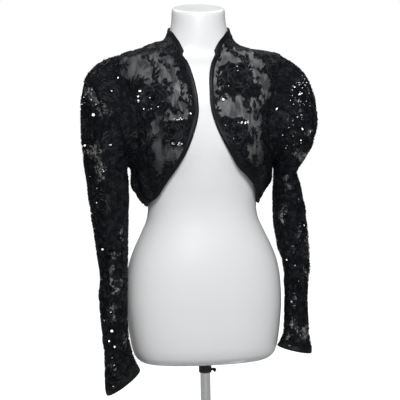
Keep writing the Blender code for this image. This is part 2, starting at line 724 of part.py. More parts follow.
def turned(name, profile, colour, collection):
    """A solid of revolution about the Z axis from its outline, given from top to bottom."""
    mesh = bpy.data.meshes.new(name)
    points = [(radius, 0.0, height) for radius, height in profile]
    mesh.from_pydata(points, [(i, i + 1) for i in range(len(points) - 1)], [])
    thing = add_object(name, mesh, colour, collection, smooth=False)
    screw = thing.modifiers.new("turn", "SCREW")
    screw.axis = "Z"
    screw.steps = screw.render_steps = TURNED_SEGMENTS
    screw.use_merge_vertices = True
    screw.merge_threshold = 0.00005
    screw.use_smooth_shade = False
    return thing


def build_stand(collection):
    bore = POLE_RADIUS + FIT_GAP
    soft = SOFT_EDGE
    turned("stand_base", [
        (0.0, POLE_FOOT - FIT_GAP), (bore, POLE_FOOT - FIT_GAP), (bore, BOSS_TOP),
        (BOSS_RADIUS - soft, BOSS_TOP), (BOSS_RADIUS, BOSS_TOP - soft),
        (BOSS_RADIUS, BASE_THICKNESS + soft), (BOSS_RADIUS + soft, BASE_THICKNESS),
        (BASE_RADIUS - soft, BASE_THICKNESS), (BASE_RADIUS, BASE_THICKNESS - soft),
        (BASE_RADIUS, soft), (BASE_RADIUS - soft, 0.0), (0.0, 0.0),
    ], "steel", collection)
    turned("stand_pole", [
        (0.0, POLE_TOP), (POLE_RADIUS - soft, POLE_TOP), (POLE_RADIUS, POLE_TOP - soft),
        (POLE_RADIUS, POLE_FOOT + soft), (POLE_RADIUS - soft, POLE_FOOT), (0.0, POLE_FOOT),
    ], "steel", collection)
    socket_top = FORM_SECTIONS[0].level - FIT_GAP
    turned("stand_socket", [
        (0.0, socket_top), (SOCKET_RADIUS, socket_top), (SOCKET_RADIUS, SOCKET_FOOT + soft),
        (SOCKET_RADIUS - soft, SOCKET_FOOT), (bore, SOCKET_FOOT),
        (bore, POLE_TOP + FIT_GAP), (0.0, POLE_TOP + FIT_GAP),
    ], "black_metal", collection)
    build_thumbscrew(collection)


def build_thumbscrew(collection):
    """The clamping screw at the socket's left side: a shank with a flat wing, tilted down."""
    start = SOCKET_RADIUS + FIT_GAP
    level = SOCKET_FOOT + SCREW_ABOVE_FOOT
    bpy.ops.mesh.primitive_cylinder_add(
        vertices=SHANK_SEGMENTS, radius=SHANK_RADIUS, depth=SHANK_LENGTH,
        location=(start + SHANK_LENGTH / 2, 0, level), rotation=(0, QUARTER_TURN, 0))
    shank = bpy.context.object
    bpy.ops.mesh.primitive_cube_add(
        size=1, location=(start + SHANK_LENGTH + WING_SIZE[0] / 3, 0, level - WING_DROP),
        rotation=(0, WING_TILT, 0))
    wing = bpy.context.object
    wing.scale = WING_SIZE
    bpy.context.view_layer.update()
    for thing in (shank, wing):
        thing.data.transform(thing.matrix_world)
        thing.matrix_world.identity()
    join = shank.modifiers.new("join", "BOOLEAN")
    join.operation = "UNION"
    join.object = wing
    bpy.context.view_layer.update()
    evaluated = shank.evaluated_get(bpy.context.evaluated_depsgraph_get())
    mesh = bpy.data.meshes.new_from_object(evaluated)
    bpy.data.objects.remove(shank)
    bpy.data.objects.remove(wing)
    add_object("stand_thumbscrew", mesh, "black_metal", collection, smooth=False)


def main():
    clear_scene()
    collection = bpy.data.collections.new("bolero_on_dress_form")
    bpy.context.scene.collection.children.link(collection)
    build_form(collection)
    build_stand(collection)
    build_front("front_right", RIGHT, collection)
    build_front("front_left", LEFT, collection)
    build_back(collection)
    build_collar(collection)
    build_edge_binding("binding_right", edge_path(RIGHT), RIGHT, collection)
    build_edge_binding("binding_left", edge_path(LEFT), LEFT, collection)
    build_edge_binding("binding_hem", hem_path(), LEFT, collection)
    for word, side in (("right", RIGHT), ("left", LEFT)):
        build_sleeve(word, side, collection)
        build_pad(word, side, collection)


main()
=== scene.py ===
"""Looks of a sheer black bolero jacket, embroidered and sequinned, on a white dress form.

Metres, +Z up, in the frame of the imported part. The cloth's surfaces follow the same sections
as the part's solids, with finer folds and gathers. A place on the body is an angle round the
form (0 in front, 90 degrees at the wearer's left) and a level. A place on a sleeve is a
section number and a turn round it (0 outside, 90 degrees in front).
"""

import math
from collections import namedtuple

import bmesh
import bpy
import numpy as np
from mathutils import Matrix, Quaternion, Vector
from mathutils.bvhtree import BVHTree


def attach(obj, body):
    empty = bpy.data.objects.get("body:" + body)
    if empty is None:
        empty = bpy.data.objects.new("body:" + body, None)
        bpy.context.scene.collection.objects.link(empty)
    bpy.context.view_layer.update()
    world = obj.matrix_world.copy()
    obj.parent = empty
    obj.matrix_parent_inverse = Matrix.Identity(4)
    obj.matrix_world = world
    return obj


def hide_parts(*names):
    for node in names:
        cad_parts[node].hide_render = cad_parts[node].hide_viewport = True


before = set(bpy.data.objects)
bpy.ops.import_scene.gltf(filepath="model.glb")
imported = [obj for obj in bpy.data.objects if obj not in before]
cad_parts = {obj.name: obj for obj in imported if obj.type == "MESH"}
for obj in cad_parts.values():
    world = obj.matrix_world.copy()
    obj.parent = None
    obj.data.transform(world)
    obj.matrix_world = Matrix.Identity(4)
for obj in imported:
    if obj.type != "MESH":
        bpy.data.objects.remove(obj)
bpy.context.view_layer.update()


def table(row_type, *rows):
    """Rows of values under the named columns of a type."""
    return [row_type(*row) for row in rows]


RIGHT = -1
LEFT = 1
QUARTER_TURN = math.pi / 2
ACROSS_BODY = Vector((1, 0, 0))

# Cloth
WALL = 0.0015
BINDING_WALL = 0.0023
BINDING_WIDTH = 0.010
BINDING_OVERLAP = 0.0015
NAPE_TURN = 0.010

# Jacket body levels
HEM_LEVEL = 0.503
UNDERARM_LEVEL = 0.588
SHOULDER_TIP_LEVEL = 0.8275
NECK_SEAM_LEVEL = 0.864
COLLAR_TOP_LEVEL = 0.8850
COLLAR_END_HEIGHT = 0.002
ARMHOLE_REACH = math.radians(29)
CORNER_TURN = 0.004

# Mesh density
FORM_COLUMNS = 120
FORM_ROWS = 150
ROW_STEPS = 6
FRONT_COLUMNS = 64
BACK_COLUMNS = 150
COLLAR_ROWS = 9
SLEEVE_COLUMNS = 240
SLEEVE_ROW_STEPS = 8
SLEEVE_CROWDING = 0.45
SLEEVE_GATHERS = 20

FormSection = namedtuple(
    "FormSection", "level half_width front back squareness tilt", defaults=(0.0,)
)
FORM_SECTIONS = table(
    FormSection,
    (0.1570, 0.1270, 0.0640, 0.0720, 2.3),
    (0.1590, 0.1370, 0.0730, 0.0820, 2.3),
    (0.1650, 0.1475, 0.0830, 0.0930, 2.3),
    (0.1760, 0.1560, 0.0910, 0.1020, 2.3),
    (0.1960, 0.1618, 0.0960, 0.1080, 2.3),
    (0.2380, 0.1678, 0.0985, 0.1130, 2.3),
    (0.2900, 0.1715, 0.0985, 0.1150, 2.3),
    (0.3350, 0.1700, 0.0965, 0.1110, 2.25),
    (0.3750, 0.1635, 0.0930, 0.1020, 2.2),
    (0.4100, 0.1510, 0.0880, 0.0890, 2.15),
    (0.4450, 0.1345, 0.0820, 0.0750, 2.1),
    (0.4750, 0.1220, 0.0780, 0.0660, 2.1),
    (0.4970, 0.1190, 0.0770, 0.0630, 2.1),
    (0.5200, 0.1215, 0.0790, 0.0640, 2.1),
    (0.5550, 0.1290, 0.0850, 0.0690, 2.1),
    (0.5950, 0.1375, 0.0900, 0.0760, 2.15),
    (0.6350, 0.1450, 0.0930, 0.0830, 2.2),
    (0.6750, 0.1515, 0.0940, 0.0880, 2.25),
    (0.7150, 0.1600, 0.0920, 0.0920, 2.3),
    (0.7550, 0.1700, 0.0850, 0.0930, 2.35),
    (0.7850, 0.1765, 0.0750, 0.0900, 2.35),
    (0.8080, 0.1790, 0.0650, 0.0840, 2.3),
    (0.8220, 0.1730, 0.0570, 0.0780, 2.2),
    (0.8300, 0.1540, 0.0540, 0.0720, 2.1),
    (0.8365, 0.1200, 0.0528, 0.0670, 2.0),
    (0.8435, 0.0935, 0.0523, 0.0630, 2.0, 0.5),
    (0.8520, 0.0795, 0.0522, 0.0600, 2.0, 1.5),
    (0.8625, 0.0712, 0.0523, 0.0585, 2.0, 3.0),
    (0.8745, 0.0652, 0.0525, 0.0570, 2.0, 5.0),
    (0.8860, 0.0615, 0.0525, 0.0560, 2.0, 7.0),
    (0.9020, 0.0588, 0.0525, 0.0555, 2.0, 10.0),
    (0.9200, 0.0578, 0.0520, 0.0550, 2.0, 12.0),
    (0.9260, 0.0566, 0.0507, 0.0537, 2.0, 12.0),
    (0.9290, 0.0534, 0.0475, 0.0505, 2.0, 12.0),
)
BUST_LEVEL = 0.636
BUST_FROM_CENTRE = 0.074
BUST_RISE = 0.023
BUST_SPREAD_ACROSS = 0.044
BUST_SPREAD_DOWN = 0.050

EaseSection = namedtuple("EaseSection", "level front side back")
EASE_SECTIONS = table(
    EaseSection,
    (0.500, 0.0030, 0.0030, 0.0035), (0.512, 0.0035, 0.0085, 0.0070),
    (0.527, 0.0040, 0.0160, 0.0120), (0.552, 0.0050, 0.0215, 0.0165),
    (0.590, 0.0050, 0.0175, 0.0150), (0.630, 0.0045, 0.0110, 0.0110),
    (0.680, 0.0040, 0.0065, 0.0070), (0.740, 0.0035, 0.0040, 0.0045),
    (0.815, 0.0028, 0.0030, 0.0032), (0.838, 0.0016, 0.0011, 0.0018),
    (0.856, 0.0019, 0.0011, 0.0018), (0.874, 0.0028, 0.0028, 0.0032),
    (0.900, 0.0032, 0.0032, 0.0038),
)

# Soft folds of the body. Slope is how far a fold leans, in degrees for each metre up.
BodyFold = namedtuple(
    "BodyFold", "angle level rise half_turn half_height slope", defaults=(0,)
)
BODY_FOLDS = table(
    BodyFold,
    (-64, 0.560, 0.0050, 6, 0.036), (-84, 0.556, 0.0040, 6, 0.030),
    (-112, 0.562, 0.0055, 7, 0.040), (-140, 0.570, 0.0050, 7, 0.046),
    (-166, 0.575, 0.0045, 7, 0.050), (60, 0.566, 0.0045, 6, 0.038),
    (82, 0.556, 0.0045, 6, 0.030), (108, 0.560, 0.0050, 7, 0.038),
    (134, 0.572, 0.0055, 7, 0.048), (158, 0.570, 0.0040, 7, 0.044),
    (86, 0.536, -0.0070, 22, 0.022), (-90, 0.842, 0.0092, 34, 0.014),
    (-52, 0.640, 0.0022, 1.8, 0.060, 10), (-45, 0.610, 0.0018, 1.5, 0.048, 20),
    (-59, 0.668, 0.0020, 1.7, 0.052, -15), (-72, 0.545, 0.0016, 2.2, 0.020, 40),
    (-98, 0.548, 0.0018, 2.4, 0.024, -40), (-126, 0.552, 0.0020, 2.6, 0.026, 30),
    (-153, 0.556, 0.0018, 2.4, 0.028, -20), (55, 0.690, 0.0024, 1.8, 0.055, -90),
    (48, 0.662, 0.0018, 1.5, 0.044, -80), (62, 0.640, 0.0020, 1.8, 0.046, -60),
    (71, 0.548, 0.0018, 2.3, 0.022, -30), (95, 0.546, 0.0018, 2.4, 0.022, 40),
    (121, 0.554, 0.0018, 2.4, 0.026, -30), (146, 0.556, 0.0020, 2.6, 0.026, 30),
    (26, 0.812, 0.0022, 1.1, 0.020),
)

FrontEdge = namedtuple("FrontEdge", "level right left")
FRONT_EDGES = table(
    FrontEdge,
    (0.508, 0.1210, 0.1180), (0.529, 0.1040, 0.1115), (0.557, 0.0885, 0.0985),
    (0.590, 0.0668, 0.0660), (0.629, 0.0435, 0.0420), (0.655, 0.0315, 0.0285),
    (0.688, 0.0200, 0.0160), (0.714, 0.0160, 0.0098), (0.743, 0.0175, 0.0078),
    (0.776, 0.0232, 0.0090), (0.815, 0.0348, 0.0185), (0.842, 0.0420, 0.0280),
    (0.858, 0.0480, 0.0370), (0.868, 0.0535, 0.0460), (0.879, 0.0600, 0.0555),
)
PanelRow = namedtuple("PanelRow", "edge_level side_level")
SIDE_SEAM_ROWS = table(
    PanelRow,
    (0.523, 0.5145), (0.537, 0.531), (0.553, 0.549), (0.571, 0.568),
)
ARMHOLE_EDGE_LEVELS = (0.590, 0.835)
ARMHOLE_ROWS = 10
SHOULDER_SEAM_ROWS = table(
    PanelRow,
    (0.841, 0.8330), (0.847, 0.8410), (0.853, 0.8485), (0.860, 0.8560),
)
COLLAR_EDGE_LEVELS = (0.8735, 0.8795)
HEM_PARTS = 3
BACK_HEM_PARTS = 20
NECK_PARTS = 9
NECK_FLATTENING = 0.35

SleeveSection = namedtuple(
    "SleeveSection", "inner_x inner_z outer_x outer_z mid_y half_depth gather",
    defaults=(0.0,),
)
RIGHT_SLEEVE = table(
    SleeveSection,
    (0.1610, 0.592, 0.2020, 0.8200, 0.000, 0.060, 0.0026),
    (0.1645, 0.585, 0.2245, 0.8050, 0.000, 0.068, 0.0030),
    (0.1650, 0.574, 0.2450, 0.7830, -0.002, 0.073, 0.0026),
    (0.1645, 0.563, 0.2555, 0.7480, -0.004, 0.075, 0.0020),
    (0.1640, 0.552, 0.2590, 0.7050, -0.006, 0.073, 0.0013),
    (0.1635, 0.541, 0.2595, 0.6550, -0.008, 0.069, 0.0006),
    (0.1625, 0.526, 0.2555, 0.6000, -0.010, 0.064),
    (0.1640, 0.500, 0.2475, 0.5400, -0.013, 0.059),
    (0.1665, 0.455, 0.2410, 0.4750, -0.017, 0.054),
    (0.1685, 0.405, 0.2340, 0.4120, -0.022, 0.049),
    (0.1715, 0.350, 0.2280, 0.3520, -0.028, 0.045),
    (0.1735, 0.295, 0.2310, 0.2960, -0.033, 0.041),
    (0.1740, 0.248, 0.2280, 0.2460, -0.037, 0.038),
    (0.1705, 0.211, 0.2235, 0.1970, -0.040, 0.037),
    (0.1635, 0.183, 0.2240, 0.1500, -0.042, 0.038),
    (0.1550, 0.161, 0.2235, 0.1090, -0.043, 0.040),
    (0.1496, 0.149, 0.2205, 0.0990, -0.043, 0.040),
)
LEFT_SLEEVE = table(
    SleeveSection,
    (0.1610, 0.592, 0.2000, 0.8090, 0.000, 0.060, 0.0026),
    (0.1640, 0.584, 0.2250, 0.7870, 0.000, 0.068, 0.0030),
    (0.1645, 0.573, 0.2435, 0.7560, 0.000, 0.073, 0.0026),
    (0.1640, 0.562, 0.2525, 0.7200, 0.000, 0.075, 0.0020),
    (0.1630, 0.551, 0.2550, 0.6800, 0.000, 0.073, 0.0013),
    (0.1620, 0.541, 0.2495, 0.6450, 0.000, 0.070, 0.0006),
    (0.1615, 0.529, 0.2320, 0.6140, 0.000, 0.065),
    (0.1610, 0.516, 0.2120, 0.5920, -0.001, 0.060),
    (0.1605, 0.502, 0.2085, 0.5700, -0.002, 0.056),
    (0.1595, 0.480, 0.2170, 0.5380, -0.004, 0.054),
    (0.1605, 0.448, 0.2250, 0.4850, -0.006, 0.053),
    (0.1690, 0.405, 0.2333, 0.4150, -0.008, 0.050),
    (0.1795, 0.362, 0.2347, 0.3640, -0.010, 0.047),
    (0.1825, 0.328, 0.2300, 0.3300, -0.012, 0.045),
    (0.1800, 0.280, 0.2265, 0.2820, -0.016, 0.041),
    (0.1760, 0.222, 0.2285, 0.2200, -0.022, 0.039),
    (0.1655, 0.194, 0.2330, 0.1790, -0.026, 0.040),
    (0.1600, 0.186, 0.2320, 0.1690, -0.027, 0.040),
)
SLEEVES = {RIGHT: RIGHT_SLEEVE, LEFT: LEFT_SLEEVE}

# Troughs and, where the depth is negative, ridges of the sleeves.
SleeveFold = namedtuple("SleeveFold", "top_row top_turn low_row low_turn depth spread")
SLEEVE_FOLDS = {
    RIGHT: table(
        SleeveFold,
        (2.0, 62, 9.0, 40, 0.0050, 15), (1.5, 108, 7.5, 84, 0.0045, 15),
        (8.5, 100, 14.0, 66, 0.0035, 18), (2.0, -70, 10.0, -48, 0.0050, 16),
        (7.0, -110, 14.0, -80, 0.0035, 18), (1.0, 84, 6.5, 62, 0.0022, 5),
        (4.0, 58, 10.5, 52, 0.0020, 5), (6.0, 122, 11.0, 96, 0.0022, 6),
        (9.5, 40, 14.5, 58, 0.0018, 7), (11.0, 112, 16.0, 92, 0.0018, 7),
        (3.0, -96, 9.0, -70, 0.0022, 6), (8.0, -60, 14.0, -96, 0.0020, 7),
    ),
    LEFT: table(
        SleeveFold,
        (2.0, 48, 7.5, 74, 0.0050, 15), (1.5, 102, 9.0, 96, 0.0045, 15),
        (10.0, 70, 15.5, 96, 0.0035, 18), (2.0, -62, 8.5, -78, 0.0050, 16),
        (10.0, -84, 15.5, -64, 0.0035, 18), (1.0, 72, 6.0, 84, 0.0024, 5),
        (4.5, 38, 9.5, 76, 0.0026, 6), (6.5, 20, 10.0, 62, 0.0024, 6),
        (7.0, -16, 10.0, -58, 0.0024, 6), (10.5, 52, 15.5, 62, 0.0018, 7),
        (11.5, 118, 17.0, 104, 0.0018, 7), (3.0, -88, 9.0, -100, 0.0022, 6),
        (11.0, -50, 16.0, -88, 0.0018, 7),
    ),
}
FINE_GATHERS = (47, 61)
FINE_GATHER_OFFSET = 2.3
FINE_GATHER_DEPTH = 0.0009
FINE_GATHER_ROWS = 3.2
SLEEVE_UNDER_BINDING = 0.12

# Steps of turn and level over which slopes are measured.
NORMAL_STEPS = (0.02, 0.0015)
INSET_STEPS = (0.01, 0.001)
HALVINGS = 30


def smooth_curve(places, values):
    """A function through rows of values that bends smoothly and never overshoots."""
    places, values = np.asarray(places, float), np.asarray(values, float)
    columns = (1,) * (values.ndim - 1)
    steps = np.diff(places).reshape(-1, *columns)
    slopes = np.diff(values, axis=0) / steps
    before, after = slopes[:-1], slopes[1:]
    onward = before * after > 0
    bend = np.divide(2 * before * after, before + after, out=np.zeros_like(before), where=onward)
    tangents = np.concatenate([slopes[:1], bend, slopes[-1:]])

    def at(place):
        place = np.clip(np.asarray(place, float), places[0], places[-1])
        i = np.clip(np.searchsorted(places, place, side="right") - 1, 0, len(places) - 2)
        step = steps[i]
        t = (place - places[i]).reshape(*place.shape, *columns) / step
        rise = values[i + 1] - values[i]
        start, end = tangents[i] * step, tangents[i + 1] * step
        curl = start + end - 2 * rise
        return values[i] + t * (start + t * (3 * rise - 2 * start - end + t * curl))

    return at


def curves_of(rows):
    places = [row[0] for row in rows]
    return {
        name: smooth_curve(places, [getattr(row, name) for row in rows])
        for name in rows[0]._fields[1:]
    }


FORM = curves_of(FORM_SECTIONS)
EASE = curves_of(EASE_SECTIONS)
EDGES = curves_of(FRONT_EDGES)


def unit(vectors):
    return vectors / np.linalg.norm(vectors, axis=-1, keepdims=True)


def turn_between(a, b):
    return np.remainder(a - b + math.pi, 2 * math.pi) - math.pi


def bust_swelling(x, level, facing):
    height = np.exp(-(((level - BUST_LEVEL) / BUST_SPREAD_DOWN) ** 2))
    across = sum(
        np.exp(-(((x - side * BUST_FROM_CENTRE) / BUST_SPREAD_ACROSS) ** 2))
        for side in (RIGHT, LEFT)
    )
    fade = np.clip(2 * facing, 0, 1)
    return BUST_RISE * height * across * fade * fade * (3 - 2 * fade)


def form_point(angle, level):
    angle, level = np.broadcast_arrays(np.asarray(angle, float), np.asarray(level, float))
    across, facing = np.sin(angle), np.cos(angle)
    power = 2 / FORM["squareness"](level)
    x = np.sign(across) * np.abs(across) ** power * FORM["half_width"](level)
    bulge = np.abs(facing) ** power
    front = -bulge * FORM["front"](level) - bust_swelling(x, level, facing)
    y = np.where(facing > 0, front, bulge * FORM["back"](level))
    return np.stack([x, y, level + y * np.tan(np.radians(FORM["tilt"](level)))], -1)


def form_normal(angle, level):
    turn_step, level_step = NORMAL_STEPS
    round_it = form_point(angle + turn_step, level) - form_point(angle - turn_step, level)
    up_it = form_point(angle, level + level_step) - form_point(angle, level - level_step)
    return unit(np.cross(round_it, up_it))


def fold_rise(angle, level):
    rise = 0.0
    for fold in BODY_FOLDS:
        middle = np.radians(fold.angle + fold.slope * (level - fold.level))
        across = turn_between(angle, middle) / math.radians(fold.half_turn)
        down = (level - fold.level) / fold.half_height
        rise = rise + fold.rise * np.exp(-across * across - down * down)
    return rise


def cloth_point(angle, level, lift=0.0):
    """A point of the jacket's body, lifted from its inner face."""
    angle, level = np.asarray(angle, float), np.asarray(level, float)
    facing = np.cos(angle)
    middle = np.where(facing > 0, EASE["front"](level), EASE["back"](level))
    ease = middle * facing**2 + EASE["side"](level) * np.sin(angle) ** 2
    ease = ease + fold_rise(angle, level) + lift
    return form_point(angle, level) + form_normal(angle, level) * ease[..., None]


def edge_angle(side, level):
    """The angle at which the jacket's surface is as far out as its front edge."""
    level = np.asarray(level, float)
    target = EDGES["right" if side == RIGHT else "left"](level)
    low, high = np.zeros_like(level), np.full_like(level, QUARTER_TURN)
    for _ in range(HALVINGS):
        middle = (low + high) / 2
        inside = np.abs(cloth_point(side * middle, level)[..., 0]) < target
        low, high = np.where(inside, middle, low), np.where(inside, high, middle)
    return side * low


def armhole_place(side, turn):
    middle = (SHOULDER_TIP_LEVEL + UNDERARM_LEVEL) / 2
    half = (SHOULDER_TIP_LEVEL - UNDERARM_LEVEL) / 2
    angle = side * (QUARTER_TURN - ARMHOLE_REACH * np.sin(turn))
    return angle, middle + half * np.cos(turn)


def crowded(even):
    """Turns of a sleeve, closer together over the gathered shoulder."""
    return even - SLEEVE_CROWDING * np.sin(even)


def inset(path, distance):
    """Moves a path of (angle, level) places sideways over the cloth, to its left."""
    angle, level = path[:, 0], path[:, 1]
    points = cloth_point(angle, level)
    along = np.concatenate([points[1:2] - points[:1], points[2:] - points[:-2],
                            points[-1:] - points[-2:-1]])
    sideways = unit(np.cross(form_normal(angle, level), along))
    turn_step, level_step = INSET_STEPS
    by_turn = (cloth_point(angle + turn_step, level) - points) / turn_step
    by_level = (cloth_point(angle, level + level_step) - points) / level_step
    aa, bb = (by_turn**2).sum(-1), (by_level**2).sum(-1)
    ab = (by_turn * by_level).sum(-1)
    a, b = (by_turn * sideways).sum(-1) * distance, (by_level * sideways).sum(-1) * distance
    scale = aa * bb - ab * ab
    return np.stack([angle + (a * bb - b * ab) / scale, level + (b * aa - a * ab) / scale], -1)


def finer(path):
    """The same path with each of its parts cut into steps, on a smooth curve."""
    path = np.asarray(path, float)
    count = len(path) - 1
    return smooth_curve(np.arange(count + 1), path)(np.linspace(0, count, count * ROW_STEPS + 1))


def edge_levels():
    seam = [row.edge_level for row in SIDE_SEAM_ROWS]
    armhole = np.linspace(*ARMHOLE_EDGE_LEVELS, ARMHOLE_ROWS + 1)
    shoulder = [row.edge_level for row in SHOULDER_SEAM_ROWS]
    return np.array([FRONT_EDGES[0].level, *seam, *armhole, *shoulder, *COLLAR_EDGE_LEVELS])


def edge_path(side):
    """The finished edge of one half: side seam, hem, front edge, then round to the nape."""
    levels = edge_levels()
    front = np.stack([edge_angle(side, levels), levels], -1)
    hem = [(angle, HEM_LEVEL) for angle in
           np.linspace(side * QUARTER_TURN, front[0, 0], HEM_PARTS + 1)[:-1]]
    nape = side * (math.pi - NAPE_TURN / 2)
    turns = np.linspace(front[-1, 0], nape, NECK_PARTS + 1)[1:]
    rise = COLLAR_TOP_LEVEL - FRONT_EDGES[-1].level
    neck = [(turn, COLLAR_TOP_LEVEL - rise * NECK_FLATTENING ** (i + 1))
            for i, turn in enumerate(turns)]
    return np.array([*hem, *front, *neck])


def hem_path():
    """The back hem, from the right side seam round to the left one."""
    turns = np.linspace(3 * QUARTER_TURN, QUARTER_TURN, BACK_HEM_PARTS + 1)
    return np.stack([turns, np.full_like(turns, HEM_LEVEL)], -1)


def crossing(side, line, level):
    """The index and place at which a rising edge line reaches a level."""
    for i in range(HEM_PARTS, len(line) - 1):
        before, after = line[i], line[i + 1]
        if before[1] < level <= after[1]:
            share = (level - before[1]) / (after[1] - before[1])
            angle = before[0] + (after[0] - before[0]) * share
            return i + 1, (angle + side * CORNER_TURN, level)
    raise ValueError("the line never reaches the level")


def side_line(side, front):
    """Fine places up a panel's outer side: side seam, armhole, then shoulder seam."""
    seam = side * QUARTER_TURN
    below = [row.side_level for row in SIDE_SEAM_ROWS] + [UNDERARM_LEVEL]
    above = [SHOULDER_TIP_LEVEL] + [row.side_level for row in SHOULDER_SEAM_ROWS]
    above.append(NECK_SEAM_LEVEL)

    def run(levels):
        count = len(levels) - 1
        even = np.linspace(0, count, count * ROW_STEPS + 1)
        fine = np.interp(even, range(count + 1), levels)
        return np.stack([np.full_like(fine, seam), fine], -1)

    turn = crowded(np.linspace(math.pi, 0, ARMHOLE_ROWS * ROW_STEPS + 1))
    armhole = np.stack(armhole_place(side, turn if front else -turn), -1)
    return np.concatenate([run(below)[:-1], armhole, run(above)[1:]])


def front_grid(side):
    """Places (angle, level) of a front panel, from its front edge to its outer side."""
    line = inset(edge_path(side), -side * (BINDING_WIDTH - BINDING_OVERLAP))
    index, last = crossing(side, line, NECK_SEAM_LEVEL)
    starts = finer(np.array([*line[HEM_PARTS:index], last]))
    outer = side_line(side, front=True)
    first = np.stack([np.full(ROW_STEPS, side * QUARTER_TURN),
                      np.linspace(line[0][1], outer[0][1], ROW_STEPS + 1)[:-1]], -1)
    ends = np.concatenate([first, outer])
    share = np.linspace(0, 1, FRONT_COLUMNS + 1)[None, :, None]
    return starts[:, None] + (ends - starts)[:, None] * share


def back_grid():
    """Places of the back, from the wearer's right seam round to the left one."""
    right, left = side_line(RIGHT, front=False), side_line(LEFT, front=False)
    right = right + [2 * math.pi, 0]
    low = inset(hem_path(), -(BINDING_WIDTH - BINDING_OVERLAP))[0, 1]
    first_levels = np.linspace(low, right[0, 1], ROW_STEPS + 1)[:-1]
    right = np.concatenate([np.stack([np.full(ROW_STEPS, 3 * QUARTER_TURN), first_levels], -1),
                            right])
    left = np.concatenate([np.stack([np.full(ROW_STEPS, QUARTER_TURN), first_levels], -1),
                           left])
    share = np.linspace(0, 1, BACK_COLUMNS + 1)[None, :, None]
    return right[:, None] + (left - right)[:, None] * share


def collar_grid():
    low = NECK_SEAM_LEVEL
    halves = []
    for side in (RIGHT, LEFT):
        line = inset(edge_path(side), -side * (BINDING_WIDTH - BINDING_OVERLAP))
        index, end = crossing(side, line, low + COLLAR_END_HEIGHT)
        halves.append(finer(np.array([end, *line[index:]])))
    right, left = halves
    top = np.concatenate([right + [2 * math.pi, 0], left[::-1]])
    share = np.linspace(0, 1, COLLAR_ROWS)[:, None]
    levels = low + (top[:, 1] - low)[None] * share
    return np.stack([np.broadcast_to(top[:, 0], levels.shape), levels], -1)


def sleeve_swell(side, row, turn):
    """How far the sleeve's folds push its surface out, at one section for many turns."""
    swell = np.zeros_like(turn)
    for fold in SLEEVE_FOLDS[side]:
        along = (row - fold.top_row) / (fold.low_row - fold.top_row)
        if not 0 < along < 1:
            continue
        line = math.radians(fold.top_turn + (fold.low_turn - fold.top_turn) * along)
        off = turn_between(turn, line) / math.radians(fold.spread)
        swell -= fold.depth * math.sin(math.pi * along) * np.exp(-off * off)
    return swell


def sleeve_rings(side, rows, even, lift=0.0):
    """Rings of the sleeve. Row 0 is the armhole and row n is the table's row n - 1."""
    turn = crowded(even)
    shape = smooth_curve(np.arange(1, len(SLEEVES[side]) + 1), SLEEVES[side])
    rings = []
    armhole = cloth_point(*armhole_place(side, turn))
    wave = np.cos(SLEEVE_GATHERS * even)
    fine = sum(np.cos(count * even + FINE_GATHER_OFFSET * i)
               for i, count in enumerate(FINE_GATHERS))
    over_shoulder = np.cos(turn / 2) ** 2
    for row in rows:
        section = SleeveSection(*shape(max(row, 1.0)))
        inner = np.array([side * section.inner_x, section.mid_y, section.inner_z])
        outer = np.array([side * section.outer_x, section.mid_y, section.outer_z])
        middle, half = (inner + outer) / 2, (outer - inner) / 2
        spoke = half * np.cos(turn)[:, None]
        spoke = spoke + np.stack([0 * turn, -section.half_depth * np.sin(turn), 0 * turn], -1)
        swell = section.gather * wave * over_shoulder + sleeve_swell(side, row, turn)
        fading = max(0.0, 1 - row / FINE_GATHER_ROWS)
        swell = swell + FINE_GATHER_DEPTH * fading * fine * over_shoulder
        ring = middle + spoke * (1 + (swell + lift) / np.linalg.norm(spoke, axis=-1))[:, None]
        if row < 1:
            straight = smooth_curve([0, 1], [armhole, ring])
            ring = straight(np.array(row))
        rings.append(ring)
    return np.array(rings)


def sleeve_grid(side):
    count = len(SLEEVES[side])
    rows = np.linspace(0, count - 1, (count - 1) * SLEEVE_ROW_STEPS + 1)
    rows = np.append(rows, count - 1 + SLEEVE_UNDER_BINDING)
    even = math.pi + np.linspace(0, 2 * math.pi, SLEEVE_COLUMNS + 1)
    return sleeve_rings(side, rows, even)


def mesh_from(name, points, faces, uvs=None):
    """A mesh object; uvs holds one (u, v) in metres for each corner of each face."""
    mesh = bpy.data.meshes.new(name)
    mesh.from_pydata(np.asarray(points, float).tolist(), [], faces)
    if uvs is not None:
        layer = mesh.uv_layers.new(name="metres")
        layer.data.foreach_set("uv", np.asarray(uvs, np.float32).ravel())
    mesh.shade_smooth()
    thing = bpy.data.objects.new(name, mesh)
    bpy.context.scene.collection.objects.link(thing)
    return thing


def lengths_along(grid, axis):
    """Length from the start of each row (axis 1) or column (axis 0) of a grid."""
    steps = np.linalg.norm(np.diff(grid, axis=axis), axis=-1)
    total = np.cumsum(steps, axis=axis)
    first = np.zeros_like(np.take(total, [0], axis=axis))
    return np.concatenate([first, total], axis=axis)


def cells(rows, columns, closed=False, flip=False):
    """Corner numbers of a grid's cells, as (row, column) pairs turned into indices."""
    wide = columns - 1 if closed else columns
    r, c = np.meshgrid(np.arange(rows - 1), np.arange(columns - 1), indexing="ij")
    after = (c + 1) % wide
    quads = np.stack([r * wide + c, r * wide + after, (r + 1) * wide + after,
                      (r + 1) * wide + c], -1).reshape(-1, 4)
    return quads[:, ::-1] if flip else quads


def grid_object(name, grid, closed=False, flip=False):
    """A smooth open sheet through a grid of points. A closed grid repeats its first column."""
    rows, columns = grid.shape[:2]
    uv = np.stack([lengths_along(grid, 1), lengths_along(grid, 0)], -1)
    quads = cells(rows, columns, closed, flip)
    corners = cells(rows, columns, False, flip)
    kept = grid[:, :-1] if closed else grid
    return mesh_from(name, kept.reshape(-1, 3), quads.tolist(), uv.reshape(-1, 2)[corners])


